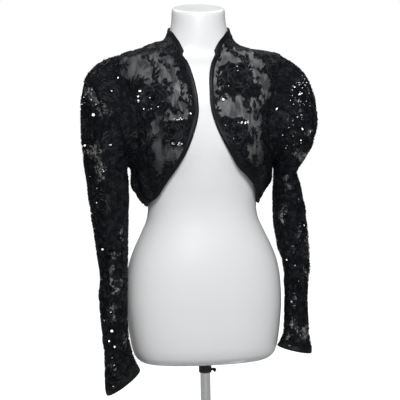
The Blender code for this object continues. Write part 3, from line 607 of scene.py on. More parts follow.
def tree_of(thing):
    mesh = thing.data
    points = [v.co for v in mesh.vertices]
    return BVHTree.FromPolygons(points, [tuple(p.vertices) for p in mesh.polygons])


def finish_piece(thing, material, slot, *nodes):
    """Gives a piece its material and hides the nodes that it stands for. The slot is not used."""
    thing.data.materials.clear()
    thing.data.materials.append(material)
    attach(thing, "root")
    if nodes:
        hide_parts(*nodes)
    return thing


class Shading:
    """Small helpers that add nodes to one material."""

    def __init__(self, name):
        self.material = bpy.data.materials.new(name)
        self.material.use_nodes = True
        self.tree = self.material.node_tree
        self.shader = self.tree.nodes["Principled BSDF"]

    def put(self, socket, value):
        if hasattr(value, "is_output"):
            self.tree.links.new(value, socket)
        else:
            socket.default_value = value

    def set(self, **inputs):
        for name, value in inputs.items():
            self.put(self.shader.inputs[name.replace("_", " ")], value)

    def node(self, kind, **settings):
        made = self.tree.nodes.new(kind)
        for name, value in settings.items():
            setattr(made, name, value)
        return made

    def coordinate(self, kind):
        return self.node("ShaderNodeTexCoord").outputs[kind]

    def math(self, operation, first, second=0.0, third=0.0):
        made = self.node("ShaderNodeMath", operation=operation)
        for socket, value in zip(made.inputs, (first, second, third)):
            self.put(socket, value)
        return made.outputs[0]

    def parts(self, vector):
        made = self.node("ShaderNodeSeparateXYZ")
        self.put(made.inputs[0], vector)
        return made.outputs

    def noise(self, vector, scale, detail=2.0, roughness=0.5, distortion=0.0):
        made = self.node("ShaderNodeTexNoise")
        for name, value in (("Vector", vector), ("Scale", scale), ("Detail", detail),
                            ("Roughness", roughness), ("Distortion", distortion)):
            self.put(made.inputs[name], value)
        return made.outputs["Fac"]

    def range(self, value, low, high, to_low, to_high):
        made = self.node("ShaderNodeMapRange", interpolation_type="SMOOTHSTEP")
        for socket, number in zip(made.inputs, (value, low, high, to_low, to_high)):
            self.put(socket, number)
        return made.outputs[0]

    def blend(self, share, first, second):
        made = self.node("ShaderNodeMix", data_type="RGBA")
        for socket, value in ((made.inputs[0], share), (made.inputs[6], first),
                              (made.inputs[7], second)):
            self.put(socket, value)
        return made.outputs[2]

    def bump(self, height, strength, distance):
        made = self.node("ShaderNodeBump")
        self.put(made.inputs["Strength"], strength)
        self.put(made.inputs["Distance"], distance)
        self.put(made.inputs["Height"], height)
        return made.outputs[0]

    def stripes(self, place, pitch):
        """A smooth wave from 0 to 1 and back once in each pitch."""
        turned = self.math("MULTIPLY", place, 2 * math.pi / pitch)
        return self.math("MULTIPLY_ADD", self.math("SINE", turned), 0.5, 0.5)

    def lines(self, place, pitch, width):
        """1 on thin lines a pitch apart and 0 between them."""
        spot = self.math("FRACT", self.math("DIVIDE", place, pitch))
        off = self.math("ABSOLUTE", self.math("SUBTRACT", spot, 0.5))
        return self.range(off, width, width * 1.6, 1.0, 0.0)


def rgb(red, green, blue):
    return (red, green, blue, 1.0)


def form_material():
    s = Shading("form_white")
    place = s.coordinate("Object")
    cloudy = s.noise(place, 5.0, 3.0)
    s.set(Base_Color=s.blend(cloudy, rgb(0.78, 0.79, 0.80), rgb(0.84, 0.845, 0.85)),
          Roughness=s.range(s.noise(place, 22.0, 4.0), 0.3, 0.7, 0.30, 0.38),
          Normal=s.bump(s.noise(place, 260.0, 2.0), 0.05, 0.0006),
          Coat_Weight=0.25, Coat_Roughness=0.18)
    return s.material


NET_PITCH = 0.0017
BARE_HOLE = 0.50
FRONT_BARE_HOLE = {"front_right": 0.56, "front_left": 0.47}
DARNED_HOLE = 0.92
THREAD_COVER = 0.26


def net_material(name, bare=BARE_HOLE):
    """Fine net: diagonal threads and, between them, holes that let light through.

    The attribute tells where the ground is closely darned (1) and where it is bare (0).
    """
    s = Shading(name)
    place = s.coordinate("Object")
    darned = s.node("ShaderNodeAttribute", attribute_name="darned").outputs["Fac"]
    ragged = s.math("MULTIPLY_ADD", s.noise(place, 190.0, 4.0, 0.7), 0.9, darned)
    darned = s.range(ragged, 0.80, 1.02, 0.0, 1.0)
    u, v = s.parts(s.coordinate("UV"))[:2]
    wander = s.math("MULTIPLY", s.noise(place, 60.0, 2.0), NET_PITCH * 1.2)
    one = s.lines(s.math("ADD", s.math("ADD", u, v), wander), NET_PITCH, 0.13)
    other = s.lines(s.math("ADD", s.math("SUBTRACT", u, v), wander), NET_PITCH, 0.13)
    threads = s.math("MAXIMUM", one, other)
    along = s.node("ShaderNodeMapping")
    s.put(along.inputs["Vector"], place)
    s.put(along.inputs["Scale"], (1.0, 1.0, 0.28))
    streaks = s.noise(along.outputs[0], 75.0, 4.0, 0.6, 0.6)
    thin = s.range(streaks, 0.36, 0.66, bare - 0.09, bare + 0.12)
    close = s.range(streaks, 0.34, 0.60, DARNED_HOLE - 0.04, DARNED_HOLE + 0.06)
    ground = s.math("MULTIPLY_ADD", darned, s.math("SUBTRACT", close, thin), thin)
    s.set(Base_Color=s.blend(streaks, rgb(0.0025, 0.0035, 0.005), rgb(0.005, 0.006, 0.008)),
          Roughness=s.range(streaks, 0.3, 0.7, 0.60, 0.72),
          Alpha=s.math("MULTIPLY_ADD", threads, THREAD_COVER, ground),
          Normal=s.bump(threads, 0.3, 0.0002),
          Specular_IOR_Level=0.06, Sheen_Weight=0.006, Sheen_Roughness=0.5)
    return s.material


THREAD_COLOURS = ((0.0030, 0.0042, 0.0050), (0.0060, 0.0062, 0.0095))
# Colour of a painted highlight on the rims of petals and leaves, where light would catch their
# raised edges.
RIM_HIGHLIGHT_COLOUR = (0.034, 0.038, 0.045)
STITCH_PITCH = 0.0007


def thread_material():
    """Satin stitch: close ridges of thread across each petal and leaf."""
    s = Shading("embroidery_black")
    u, v = s.parts(s.coordinate("UV"))[:2]
    place = s.coordinate("Object")
    wander = s.math("MULTIPLY", s.noise(place, 160.0, 2.0), STITCH_PITCH)
    slanted = s.math("MULTIPLY_ADD", v, 0.35, u)
    ridges = s.stripes(s.math("ADD", slanted, wander), STITCH_PITCH)
    dark, light = (rgb(*colour) for colour in THREAD_COLOURS)
    tone = s.range(s.noise(place, 18.0, 3.0), 0.4, 0.62, 0.0, 1.0)
    # The rim attribute lightens the base colour towards a painted highlight, and also raises the
    # gloss.
    rim = s.node("ShaderNodeAttribute", attribute_name="rim").outputs["Fac"]
    patchy = s.range(s.noise(place, 55.0, 3.0, 0.6), 0.40, 0.66, 0.0, 1.0)
    gloss = s.math("MULTIPLY_ADD", patchy, 0.12, s.math("MULTIPLY_ADD", rim, 0.35, 0.03))
    edge = s.math("MULTIPLY", rim, s.math("MULTIPLY_ADD", patchy, 0.75, 0.25))
    s.set(Base_Color=s.blend(edge, s.blend(tone, dark, light), rgb(*RIM_HIGHLIGHT_COLOUR)),
          Roughness=s.range(ridges, 0.0, 1.0, 0.52, 0.34),
          Normal=s.bump(ridges, 0.7, 0.0003),
          Specular_IOR_Level=gloss, Sheen_Weight=0.012, Sheen_Roughness=0.4)
    return s.material


def sequin_material():
    s = Shading("sequin_black")
    place = s.coordinate("Object")
    tone = s.range(s.noise(place, 90.0, 1.0), 0.35, 0.65, 0.0, 1.0)
    s.set(Base_Color=s.blend(tone, rgb(0.003, 0.007, 0.008), rgb(0.008, 0.004, 0.011)),
          Roughness=s.range(s.noise(place, 700.0, 1.0), 0.3, 0.7, 0.06, 0.22),
          Specular_IOR_Level=0.5, Coat_Weight=0.3, Coat_Roughness=0.03)
    return s.material


def satin_material():
    s = Shading("satin_black")
    u, v = s.parts(s.coordinate("UV"))[:2]
    weave = s.stripes(s.math("MULTIPLY_ADD", v, 0.6, u), 0.0009)
    soft = s.noise(s.coordinate("Object"), 34.0, 3.0)
    s.set(Base_Color=s.blend(soft, rgb(0.004, 0.005, 0.006), rgb(0.008, 0.009, 0.011)),
          Roughness=s.range(soft, 0.3, 0.7, 0.36, 0.50),
          Normal=s.bump(weave, 0.25, 0.0002),
          Specular_IOR_Level=0.14, Anisotropic=0.4, Sheen_Weight=0.015)
    return s.material


def pad_material():
    s = Shading("pad_felt")
    place = s.coordinate("Object")
    fuzz = s.noise(place, 900.0, 4.0, 0.7)
    s.set(Base_Color=s.blend(fuzz, rgb(0.006, 0.006, 0.007), rgb(0.020, 0.020, 0.023)),
          Roughness=s.range(fuzz, 0.3, 0.7, 0.80, 0.95),
          Normal=s.bump(fuzz, 0.5, 0.0008), Specular_IOR_Level=0.15, Sheen_Weight=0.1)
    return s.material


def steel_material():
    s = Shading("steel_brushed")
    x, y, z = s.parts(s.coordinate("Object"))
    radius = s.math("SQRT", s.math("ADD", s.math("MULTIPLY", x, x), s.math("MULTIPLY", y, y)))
    joined = s.node("ShaderNodeCombineXYZ")
    s.put(joined.inputs[0], s.math("MULTIPLY", radius, 900.0))
    s.put(joined.inputs[2], s.math("MULTIPLY", z, 900.0))
    brushed = s.noise(joined.outputs[0], 1.0, 3.0, 0.6)
    smudged = s.noise(s.coordinate("Object"), 24.0, 4.0)
    s.set(Base_Color=s.blend(smudged, rgb(0.84, 0.85, 0.86), rgb(0.90, 0.91, 0.92)),
          Metallic=1.0, Roughness=s.range(smudged, 0.3, 0.7, 0.24, 0.29),
          Normal=s.bump(brushed, 0.12, 0.0003))
    return s.material


def black_metal_material():
    s = Shading("black_powder_coat")
    place = s.coordinate("Object")
    grain = s.noise(place, 1500.0, 2.0)
    worn = s.range(s.noise(place, 120.0, 4.0), 0.60, 0.74, 0.0, 1.0)
    s.set(Base_Color=s.blend(worn, rgb(0.010, 0.010, 0.011), rgb(0.055, 0.055, 0.058)),
          Roughness=s.range(grain, 0.3, 0.7, 0.36, 0.52),
          Normal=s.bump(grain, 0.35, 0.0003))
    return s.material


# Rings of the form's caps, as shares of its first and last ring.
CAP_SHARES = (0.985, 0.93, 0.72, 0.40, 0.02)


def build_form():
    """The smooth form, with a rounded rim at its neck and rings that close both ends."""
    levels = [section.level for section in FORM_SECTIONS]
    count = len(levels) - 1
    rows = np.interp(np.linspace(0, count, FORM_ROWS), range(count + 1), levels)
    turns = np.linspace(0, 2 * math.pi, FORM_COLUMNS + 1)
    grid = form_point(turns[None, :], rows[:, None])
    caps = []
    for ring, sign in ((grid[0], -1), (grid[-1], 1)):
        centre = ring[:-1].mean(0)
        cap = [centre + (ring - centre) * share for share in CAP_SHARES]
        caps.append(np.array(cap[::-1] if sign < 0 else cap))
    grid = np.concatenate([caps[0], grid, caps[1]])
    form = grid_object("dress_form_shell", grid, closed=True)
    close_ends(form, len(grid), FORM_COLUMNS)
    return finish_piece(form, form_material(), "form_white", "dress_form")


def close_ends(thing, rows, columns):
    """Fills the small holes at the first and last ring of a closed grid."""
    mesh = thing.data
    work = bmesh.new()
    work.from_mesh(mesh)
    work.verts.ensure_lookup_table()
    first = [work.verts[i] for i in range(columns)]
    last = [work.verts[(rows - 1) * columns + i] for i in range(columns)]
    work.faces.new(first[::-1]).smooth = True
    work.faces.new(last).smooth = True
    work.to_mesh(mesh)
    work.free()


def build_nets():
    """The cut panels of net by name, each one thin sheet."""
    net = net_material("net_black")
    places = {
        "front_right": front_grid(RIGHT)[:, ::-1],
        "front_left": front_grid(LEFT),
        "back": back_grid()[:, ::-1],
        "collar": collar_grid()[:, ::-1],
    }
    nets = {}
    for name, grid in places.items():
        points = cloth_point(grid[..., 0], grid[..., 1], WALL / 2)
        nets[name] = grid_object("net_" + name, points)
        own = name in FRONT_BARE_HOLE
        cloth = net_material("net_" + name, FRONT_BARE_HOLE[name]) if own else net
        finish_piece(nets[name], cloth, "lace", name)
    for word, side in (("right", RIGHT), ("left", LEFT)):
        name = "sleeve_" + word
        nets[name] = grid_object("net_" + name, sleeve_grid(side), closed=True,
                                 flip=side == RIGHT)
        finish_piece(nets[name], net, "lace", name)
    return nets


# Cross-section of the satin binding: across from the finished edge, and height from the
# middle of the cloth, both as shares of the binding's width and half its wall.
BINDING_SECTION = [
    (0.00, 0.0), (0.02, 0.75), (0.12, 1.15), (0.35, 1.35), (0.62, 1.25), (0.80, 0.95),
    (0.86, 0.55), (0.90, 0.80), (0.98, 0.75), (1.00, 0.0), (0.98, -0.8), (0.86, -0.8),
    (0.50, -1.0), (0.12, -1.0), (0.02, -0.7),
]


def binding_object(name, path, side):
    lines, lifts = [], []
    for across, height in BINDING_SECTION:
        lines.append(finer(inset(path, -side * BINDING_WIDTH * across)))
        lifts.append(WALL / 2 + height * BINDING_WALL / 2)
    grid = np.stack([cloth_point(line[:, 0], line[:, 1], lift)
                     for line, lift in zip(lines, lifts)], 1)
    grid = np.concatenate([grid, grid[:, :1]], axis=1)
    thing = grid_object(name, grid, closed=True, flip=side == LEFT)
    close_ends(thing, len(grid), len(BINDING_SECTION))
    return thing


def build_bindings():
    satin = satin_material()
    made = {}
    for name, path, side in (
        ("right", edge_path(RIGHT), RIGHT),
        ("left", edge_path(LEFT), LEFT),
        ("hem", hem_path(), LEFT),
    ):
        thing = binding_object("satin_binding_" + name, path, side)
        made[name] = finish_piece(thing, satin, "satin", "binding_" + name)
    for word, side in (("right", RIGHT), ("left", LEFT)):
        thing = cuff_object("satin_cuff_" + word, side)
        made["cuff_" + word] = finish_piece(thing, satin, "satin", "cuff_binding_" + word)
    return made


def cuff_object(name, side):
    count = len(SLEEVES[side])
    even = math.pi + np.linspace(0, 2 * math.pi, SLEEVE_COLUMNS // 2 + 1)
    rings = []
    for across, height in BINDING_SECTION:
        row = count - across
        rings.append(sleeve_rings(side, [row], even, height * BINDING_WALL / 2 + WALL / 2)[0])
    grid = np.stack(rings, 1)
    grid = np.concatenate([grid, grid[:, :1]], axis=1)
    rows, columns = grid.shape[:2]
    quads = cells(rows, columns, closed=True, flip=side == RIGHT)
    quads = quads % ((rows - 1) * (columns - 1))
    uv = np.stack([lengths_along(grid, 1), lengths_along(grid, 0)], -1)
    corners = cells(rows, columns, False, flip=side == RIGHT)
    points = grid[:-1, :-1].reshape(-1, 3)
    return mesh_from(name, points, quads.tolist(), uv.reshape(-1, 2)[corners])


def petal_patch(along, across):
    """Shares (t, s) and cells of a patch: t runs from root to tip and s from side to side."""
    t, s = np.meshgrid(np.linspace(0, 1, along), np.linspace(-1, 1, across), indexing="ij")
    return t.ravel(), s.ravel(), cells(along, across)


STEM = petal_patch(9, 3)
RING = petal_patch(25, 3)

# Kinds of petal and leaf: their mesh, how high they are padded, the powers that shape their
# outline, and how strongly a painted highlight lightens their rim.
Blade = namedtuple("Blade", "patch rise bluntness fullness rim")
PETAL = Blade(petal_patch(6, 7), 0.0018, 0.62, 0.72, 1.0)
LEAF = Blade(petal_patch(6, 3), 0.0007, 1.25, 0.80, 0.25)
SMALL_PETAL = Blade(petal_patch(4, 3), 0.0010, 0.80, 0.55, 0.55)

# Rings of petals in a flower: how far they reach, how many petals fewer they have, where
# they start and how high they lie.
PetalRing = namedtuple("PetalRing", "reach fewer start base")
FLOWER_RINGS = table(
    PetalRing,
    (1.00, 0, 0.46, 0.0002), (0.74, 1, 0.26, 0.0009), (0.46, 2, 0.10, 0.0016),
)
PETAL_BEND, LEAF_BEND = 0.4, 0.25
PETAL_OVERLAP = 1.9
LEAF_SLIMNESS = 0.33
LOW_BASE = 0.0002
CURL = {"sleeve_right": 0.0024, "sleeve_left": 0.0024}
USUAL_CURL = 0.0007
CORD_REACH, CORD_HALF_WIDTH, CORD_BASE, CORD_RISE = 0.46, 0.0008, 0.0011, 0.0009
STEM_HALF_WIDTH, STEM_RISE, STEM_BEND = 0.0006, 0.0005, 0.9
HEART_REACH, HEART_RING, HEART_BEADS, HEART_BEAD = 0.2, 0.62, 6, 0.36
BEAD_SIDES, BEAD_BASE = 6, 0.0008
BEAD_SHOULDER, BEAD_SHOULDER_RISE = 0.7, 0.75
OFF_THE_NET = 0.0012
LEAST_LENGTH = 0.001

# Chance in the motifs: shares by which sizes vary, and by which headings stray.
PETAL_SIZES, PETAL_STRAY = (0.88, 1.08), 0.12
STAR_SIZES, STAR_STRAY = (0.8, 1.15), 0.2
ROSETTE_SIZES, ROSETTE_WIDTH, ROSETTE_BEND = (0.85, 1.1), 0.85, 0.2

# Leaves on a stem: the share of it where the first grows and the share that they take up,
# how their size falls along it, and the angle at which they leave it.
FIRST_LEAF, LEAFY_SHARE = 0.10, 0.78
LEAF_SIZE, LEAF_TAPER, LEAF_SIZES = 1.1, 0.3, (0.8, 1.2)
LEAF_SPREAD = (0.5, 0.9)

# Sequins: how many lie on a flower, how likely one lies on a rosette, and their shape.
FLOWER_SEQUINS = (1, 3)
FLOWER_SEQUIN_RADIUS = 0.0016
ROSETTE_SEQUINS = 0.04
ROSETTE_SEQUIN_RADIUS = 0.0015
SEQUIN_TILT = 0.12
SEQUIN_LIFT = 0.0034
SEQUIN_OVAL = (0.55, 1.0)
SEQUIN_SIDES = 10
SEQUIN_RINGS = (1.0, 0.45)
LOOSE_CUP, FACING_CUP = 0.17, 0.05
FARTHEST_SEQUIN = 0.02


class Embroidery:
    """Raised motifs and sequins that lie on one panel of net."""

    def __init__(self, name, net, seed):
        self.name = name
        self.net = net
        self.tree = tree_of(net)
        self.random = np.random.default_rng(seed)
        self.curl = CURL.get(name, USUAL_CURL)
        self.points, self.faces, self.uvs, self.rims, self.count = [], [], [], [], 0
        self.discs = []

    def local_frame(self, centre):
        """The spot of the net nearest to a point, with two directions along the net."""
        spot, normal, _, _ = self.tree.find_nearest(Vector(centre))
        level = Vector((0, 0, 1)).cross(normal)
        if level.length < LEAST_LENGTH:
            level = ACROSS_BODY.copy()
        level.normalize()
        return np.array(spot), np.array(level), np.array(normal.cross(level)), np.array(normal)

    def lay(self, here, x, y, height, quads, u, v, rim=None):
        """Lays flat points (x, y) on the net, raised by height, and leaves out what is off it."""
        spot, ex, ey, _ = here
        plane = spot + x[:, None] * ex + y[:, None] * ey
        points = np.empty_like(plane)
        off = np.empty(len(plane), bool)
        for i, p in enumerate(plane):
            place, normal, _, _ = self.tree.find_nearest(Vector(p))
            gap = Vector(p) - place
            off[i] = (gap - normal * gap.dot(normal)).length > OFF_THE_NET
            points[i] = place + normal * float(height[i])
        kept = quads[~off[quads].all(1)]
        if len(kept) == 0:
            return
        used, renumbered = np.unique(kept, return_inverse=True)
        self.points.append(points[used])
        self.faces.append(renumbered.reshape(kept.shape) + self.count)
        self.uvs.append(np.stack([u, v], -1)[kept].reshape(-1, 2))
        self.rims.append(np.zeros(len(used)) if rim is None else rim[used])
        self.count += len(used)

    def blade(self, here, kind, root, heading, length, width, bend, base=LOW_BASE):
        """One petal or leaf from its root point: a padded patch of satin stitch."""
        t, s, quads = kind.patch
        outline = np.sin(math.pi * t ** kind.fullness * 0.985 + 0.02) ** kind.bluntness
        side = s * width * outline / 2
        forth = t * length
        swing = heading + bend * t
        x = root[0] + forth * np.cos(swing) - side * np.sin(swing)
        y = root[1] + forth * np.sin(swing) + side * np.cos(swing)
        crown = (1 - 0.85 * s * s) * (0.35 + 0.65 * np.sin(math.pi * t))
        vein = 0.25 * np.exp(-(s / 0.2) ** 2)
        height = base + kind.rise * (crown - vein) + self.curl * t * t
        # A painted highlight, strongest at the sides and tip of each blade.
        rim_highlight = kind.rim * np.maximum(np.abs(s) ** 4, t ** 8)
        self.lay(here, x, y, height, quads, forth, side, rim_highlight)

    def leaf(self, here, root, heading, length, bend=0.0):
        """A slender pointed leaf."""
        self.blade(here, LEAF, root, heading, length, length * LEAF_SLIMNESS, bend)

    def flower(self, centre, radius, petals, turn):
        here = self.local_frame(centre)
        for ring in FLOWER_RINGS:
            count = max(petals - ring.fewer, 4)
            for i in range(count):
                stray = self.random.uniform(-PETAL_STRAY, PETAL_STRAY)
                heading = turn + 2 * math.pi * (i + stray) / count
                long = radius * ring.reach * self.random.uniform(*PETAL_SIZES)
                near = radius * ring.start
                root = np.array([math.cos(heading), math.sin(heading)]) * near
                wide = PETAL_OVERLAP * radius * ring.reach * math.sin(math.pi / count)
                bend = self.random.uniform(-PETAL_BEND, PETAL_BEND)
                self.blade(here, PETAL, root, heading, long - near, wide, bend, ring.base)
        self.cord(here, radius * CORD_REACH)
        self.heart(here, radius * HEART_REACH)
        for _ in range(int(self.random.integers(*FLOWER_SEQUINS))):
            heading = self.random.uniform(0, 2 * math.pi)
            far = radius * self.random.uniform(0.5, 1.0)
            self.disc(here, far * math.cos(heading), far * math.sin(heading),
                      FLOWER_SEQUIN_RADIUS)

    def cord(self, here, radius):
        """A raised ring of cord."""
        t, s, quads = RING
        turn, side = 2 * math.pi * t, s * CORD_HALF_WIDTH
        far = radius + side
        height = CORD_BASE + CORD_RISE * (1 - s * s)
        self.lay(here, far * np.cos(turn), far * np.sin(turn), height, quads,
                 turn * radius, side)

    def heart(self, here, radius):
        """A knot of small beads in the middle of a flower."""
        self.bead(here, 0.0, 0.0, radius * HEART_BEAD)
        far = radius * HEART_RING
        for turn in np.arange(HEART_BEADS) * 2 * math.pi / HEART_BEADS:
            self.bead(here, far * math.cos(turn), far * math.sin(turn), radius * HEART_BEAD)

    def bead(self, here, x, y, radius):
        n = BEAD_SIDES
        turns = np.arange(n) * 2 * math.pi / n
        far = radius * np.repeat([1.0, BEAD_SHOULDER, 0.0], [n, n, 1])
        turns = np.concatenate([turns, turns, [0.0]])
        px, py = x + far * np.cos(turns), y + far * np.sin(turns)
        height = BEAD_BASE + radius * np.repeat([0.0, BEAD_SHOULDER_RISE, 1.0], [n, n, 1])
        sides = [(i, (i + 1) % n, n + (i + 1) % n, n + i) for i in range(n)]
        tops = [(n + i, n + (i + 1) % n, 2 * n, 2 * n) for i in range(n)]
        self.lay(here, px, py, height, np.array(sides + tops), px, py)

    def disc(self, here, x, y, radius, facing=None):
        self.discs.append((here, x, y, radius, facing))

    def spray(self, centre, length, pairs, heading, leaf):
        """A curved stem with leaves in pairs and one at its end."""
        here = self.local_frame(centre)
        bend = self.random.uniform(-STEM_BEND, STEM_BEND)
        start = -0.5 * length * np.array([math.cos(heading), math.sin(heading)])
        t, s, quads = STEM
        swing = heading + bend * (t - 0.5)
        side = s * STEM_HALF_WIDTH
        x = start[0] + t * length * np.cos(swing) - side * np.sin(swing)
        y = start[1] + t * length * np.sin(swing) + side * np.cos(swing)
        self.lay(here, x, y, LOW_BASE + STEM_RISE * (1 - s * s), quads, t * length, side)
        for i in range(pairs):
            share = FIRST_LEAF + LEAFY_SHARE * i / max(pairs - 1, 1)
            swing = heading + bend * (share - 0.5)
            root = start + share * length * np.array([math.cos(swing), math.sin(swing)])
            size = leaf * (LEAF_SIZE - LEAF_TAPER * share) * self.random.uniform(*LEAF_SIZES)
            for side in (-1, 1):
                spread = side * self.random.uniform(*LEAF_SPREAD)
                self.leaf(here, root, swing + spread, size, -side * LEAF_BEND)
        tip = start + length * np.array([math.cos(heading + bend / 2),
                                         math.sin(heading + bend / 2)])
        self.leaf(here, tip, heading + bend / 2, leaf)

    def star(self, centre, radius, leaves, turn):
        """Pointed leaves round one spot."""
        here = self.local_frame(centre)
        for i in range(leaves):
            stray = self.random.uniform(-STAR_STRAY, STAR_STRAY)
            heading = turn + 2 * math.pi * (i + stray) / leaves
            self.leaf(here, (0.0, 0.0), heading, radius * self.random.uniform(*STAR_SIZES),
                      self.random.uniform(-PETAL_BEND, PETAL_BEND))

    def rosette(self, centre, radius, petals, turn):
        here = self.local_frame(centre)
        for i in range(petals):
            heading = turn + 2 * math.pi * i / petals
            self.blade(here, SMALL_PETAL, (0.0, 0.0), heading,
                       radius * self.random.uniform(*ROSETTE_SIZES), radius * ROSETTE_WIDTH,
                       ROSETTE_BEND)
        if self.random.uniform() < ROSETTE_SEQUINS:
            self.disc(here, 0.0, 0.0, ROSETTE_SEQUIN_RADIUS)

    def object(self, material):
        """All that was laid, as one mesh. A face drops the corners that it repeats."""
        points = np.concatenate(self.points)
        faces = [tuple(dict.fromkeys(face)) for face in np.concatenate(self.faces).tolist()]
        counts = [len(face) for face in faces]
        corners = np.concatenate(self.uvs).reshape(-1, 4, 2)
        kept = np.concatenate([corner[:count] for corner, count in zip(corners, counts)])
        thing = mesh_from("embroidery_" + self.name, points, faces, kept)
        # The rim layer carries the painted highlight of each point.
        layer = thing.data.attributes.new("rim", "FLOAT", "POINT")
        layer.data.foreach_set("value", np.concatenate(self.rims).astype(np.float32))
        return finish_piece(thing, material, "lace")

    def sequins(self, material):
        """Small cupped discs, loose on their threads or held towards the light."""
        sides = SEQUIN_SIDES
        turns = np.arange(sides) * 2 * math.pi / sides
        points, faces = [], []
        for here, x, y, radius, facing in self.discs:
            spot, ex, ey, _ = here
            place, normal, _, gap = self.tree.find_nearest(Vector(spot + x * ex + y * ey))
            if gap > FARTHEST_SEQUIN:
                continue
            axis, cup = (normal, LOOSE_CUP) if facing is None else (facing, FACING_CUP)
            squash = self.random.uniform(*SEQUIN_OVAL)
            tilt = Vector(self.random.normal(0, SEQUIN_TILT, 3))
            axis = (axis + (tilt if facing is None else tilt * 0.1)).normalized()
            one = axis.orthogonal().normalized()
            one.rotate(Quaternion(axis, self.random.uniform(0, math.pi)))
            two = axis.cross(one)
            middle = place + normal * SEQUIN_LIFT
            start = len(points)
            for share in SEQUIN_RINGS:
                drop = axis * (cup * radius * (share - 1))
                for turn in turns:
                    off = one * math.cos(turn) + two * math.sin(turn) * squash
                    off *= radius * share
                    points.append(middle + off + drop)
            points.append(middle - axis * cup * radius)
            for i in range(sides):
                j = (i + 1) % sides
                faces.append((start + i, start + j, start + sides + j, start + sides + i))
                faces.append((start + sides + i, start + sides + j, start + 2 * sides))
        thing = mesh_from("sequins_" + self.name, [tuple(p) for p in points], faces)
        return finish_piece(thing, material, "lace")


# The view of the photo: the camera's place round the part, and its framing.
VIEW_AZIMUTH = math.radians(-8.0)
VIEW_ELEVATION = math.radians(5.0)
VIEW_ROLL = math.radians(-1.12)
VIEW_TARGET = Vector((-0.0042, 0.0, 0.512))
VIEW_DISTANCE = 3.2
LENS = 131.5
SENSOR = 36.0

# Motifs set one by one on the fronts: across and level are as seen from the camera.
Motif = namedtuple("Motif", "kind across level size parts turn leaf", defaults=(0,))
FRONT_MOTIFS = {
    RIGHT: table(
        Motif,
        ("flower", -0.0985, 0.727, 0.034, 7, 0.3),
        ("flower", -0.0578, 0.657, 0.027, 7, 1.1),
        ("flower", -0.0650, 0.838, 0.020, 6, 0.8),
        ("flower", -0.0700, 0.552, 0.022, 6, 0.2),
        ("flower", -0.1250, 0.650, 0.027, 7, 0.5),
        ("star", -0.1597, 0.803, 0.016, 6, 0.2),
        ("star", -0.0970, 0.648, 0.012, 5, 0.9),
        ("spray", -0.0950, 0.790, 0.052, 5, 1.43, 0.015),
        ("spray", -0.1377, 0.770, 0.040, 4, 0.73, 0.013),
        ("spray", -0.0675, 0.761, 0.028, 3, -0.40, 0.011),
        ("spray", -0.0392, 0.735, 0.030, 3, 1.0, 0.011),
        ("spray", -0.1130, 0.822, 0.024, 3, 0.2, 0.010),
        ("spray", -0.0430, 0.703, 0.026, 3, 2.2, 0.010),
        ("spray", -0.0720, 0.694, 0.020, 2, 2.9, 0.010),
        ("spray", -0.0700, 0.800, 0.026, 3, 2.4, 0.011),
        ("star", -0.0742, 0.582, 0.013, 6, 0.2),
    ),
    LEFT: table(
        Motif,
        ("flower", 0.0806, 0.7715, 0.036, 7, 0.2),
        ("flower", 0.1588, 0.7930, 0.022, 7, 0.9),
        ("flower", 0.0769, 0.6580, 0.031, 7, 0.4),
        ("flower", 0.0400, 0.8500, 0.017, 6, 0.4),
        ("star", 0.1154, 0.5996, 0.017, 8, 0.4),
        ("star", 0.0420, 0.6780, 0.013, 7, 0.2),
        ("star", 0.1150, 0.6560, 0.015, 6, 0.7),
        ("spray", 0.1010, 0.7130, 0.044, 4, 2.2, 0.016),
        ("spray", 0.1190, 0.6950, 0.034, 3, 1.7, 0.014),
        ("spray", 0.0880, 0.8190, 0.034, 4, 2.7, 0.014),
        ("spray", 0.0430, 0.8200, 0.032, 4, 1.6, 0.013),
        ("spray", 0.0400, 0.7660, 0.036, 4, 1.5, 0.011),
        ("spray", 0.1280, 0.7900, 0.026, 3, 2.2, 0.010),
        ("spray", 0.1380, 0.7300, 0.028, 3, 1.9, 0.011),
        ("spray", 0.1200, 0.6300, 0.024, 3, 1.4, 0.010),
    ),
}

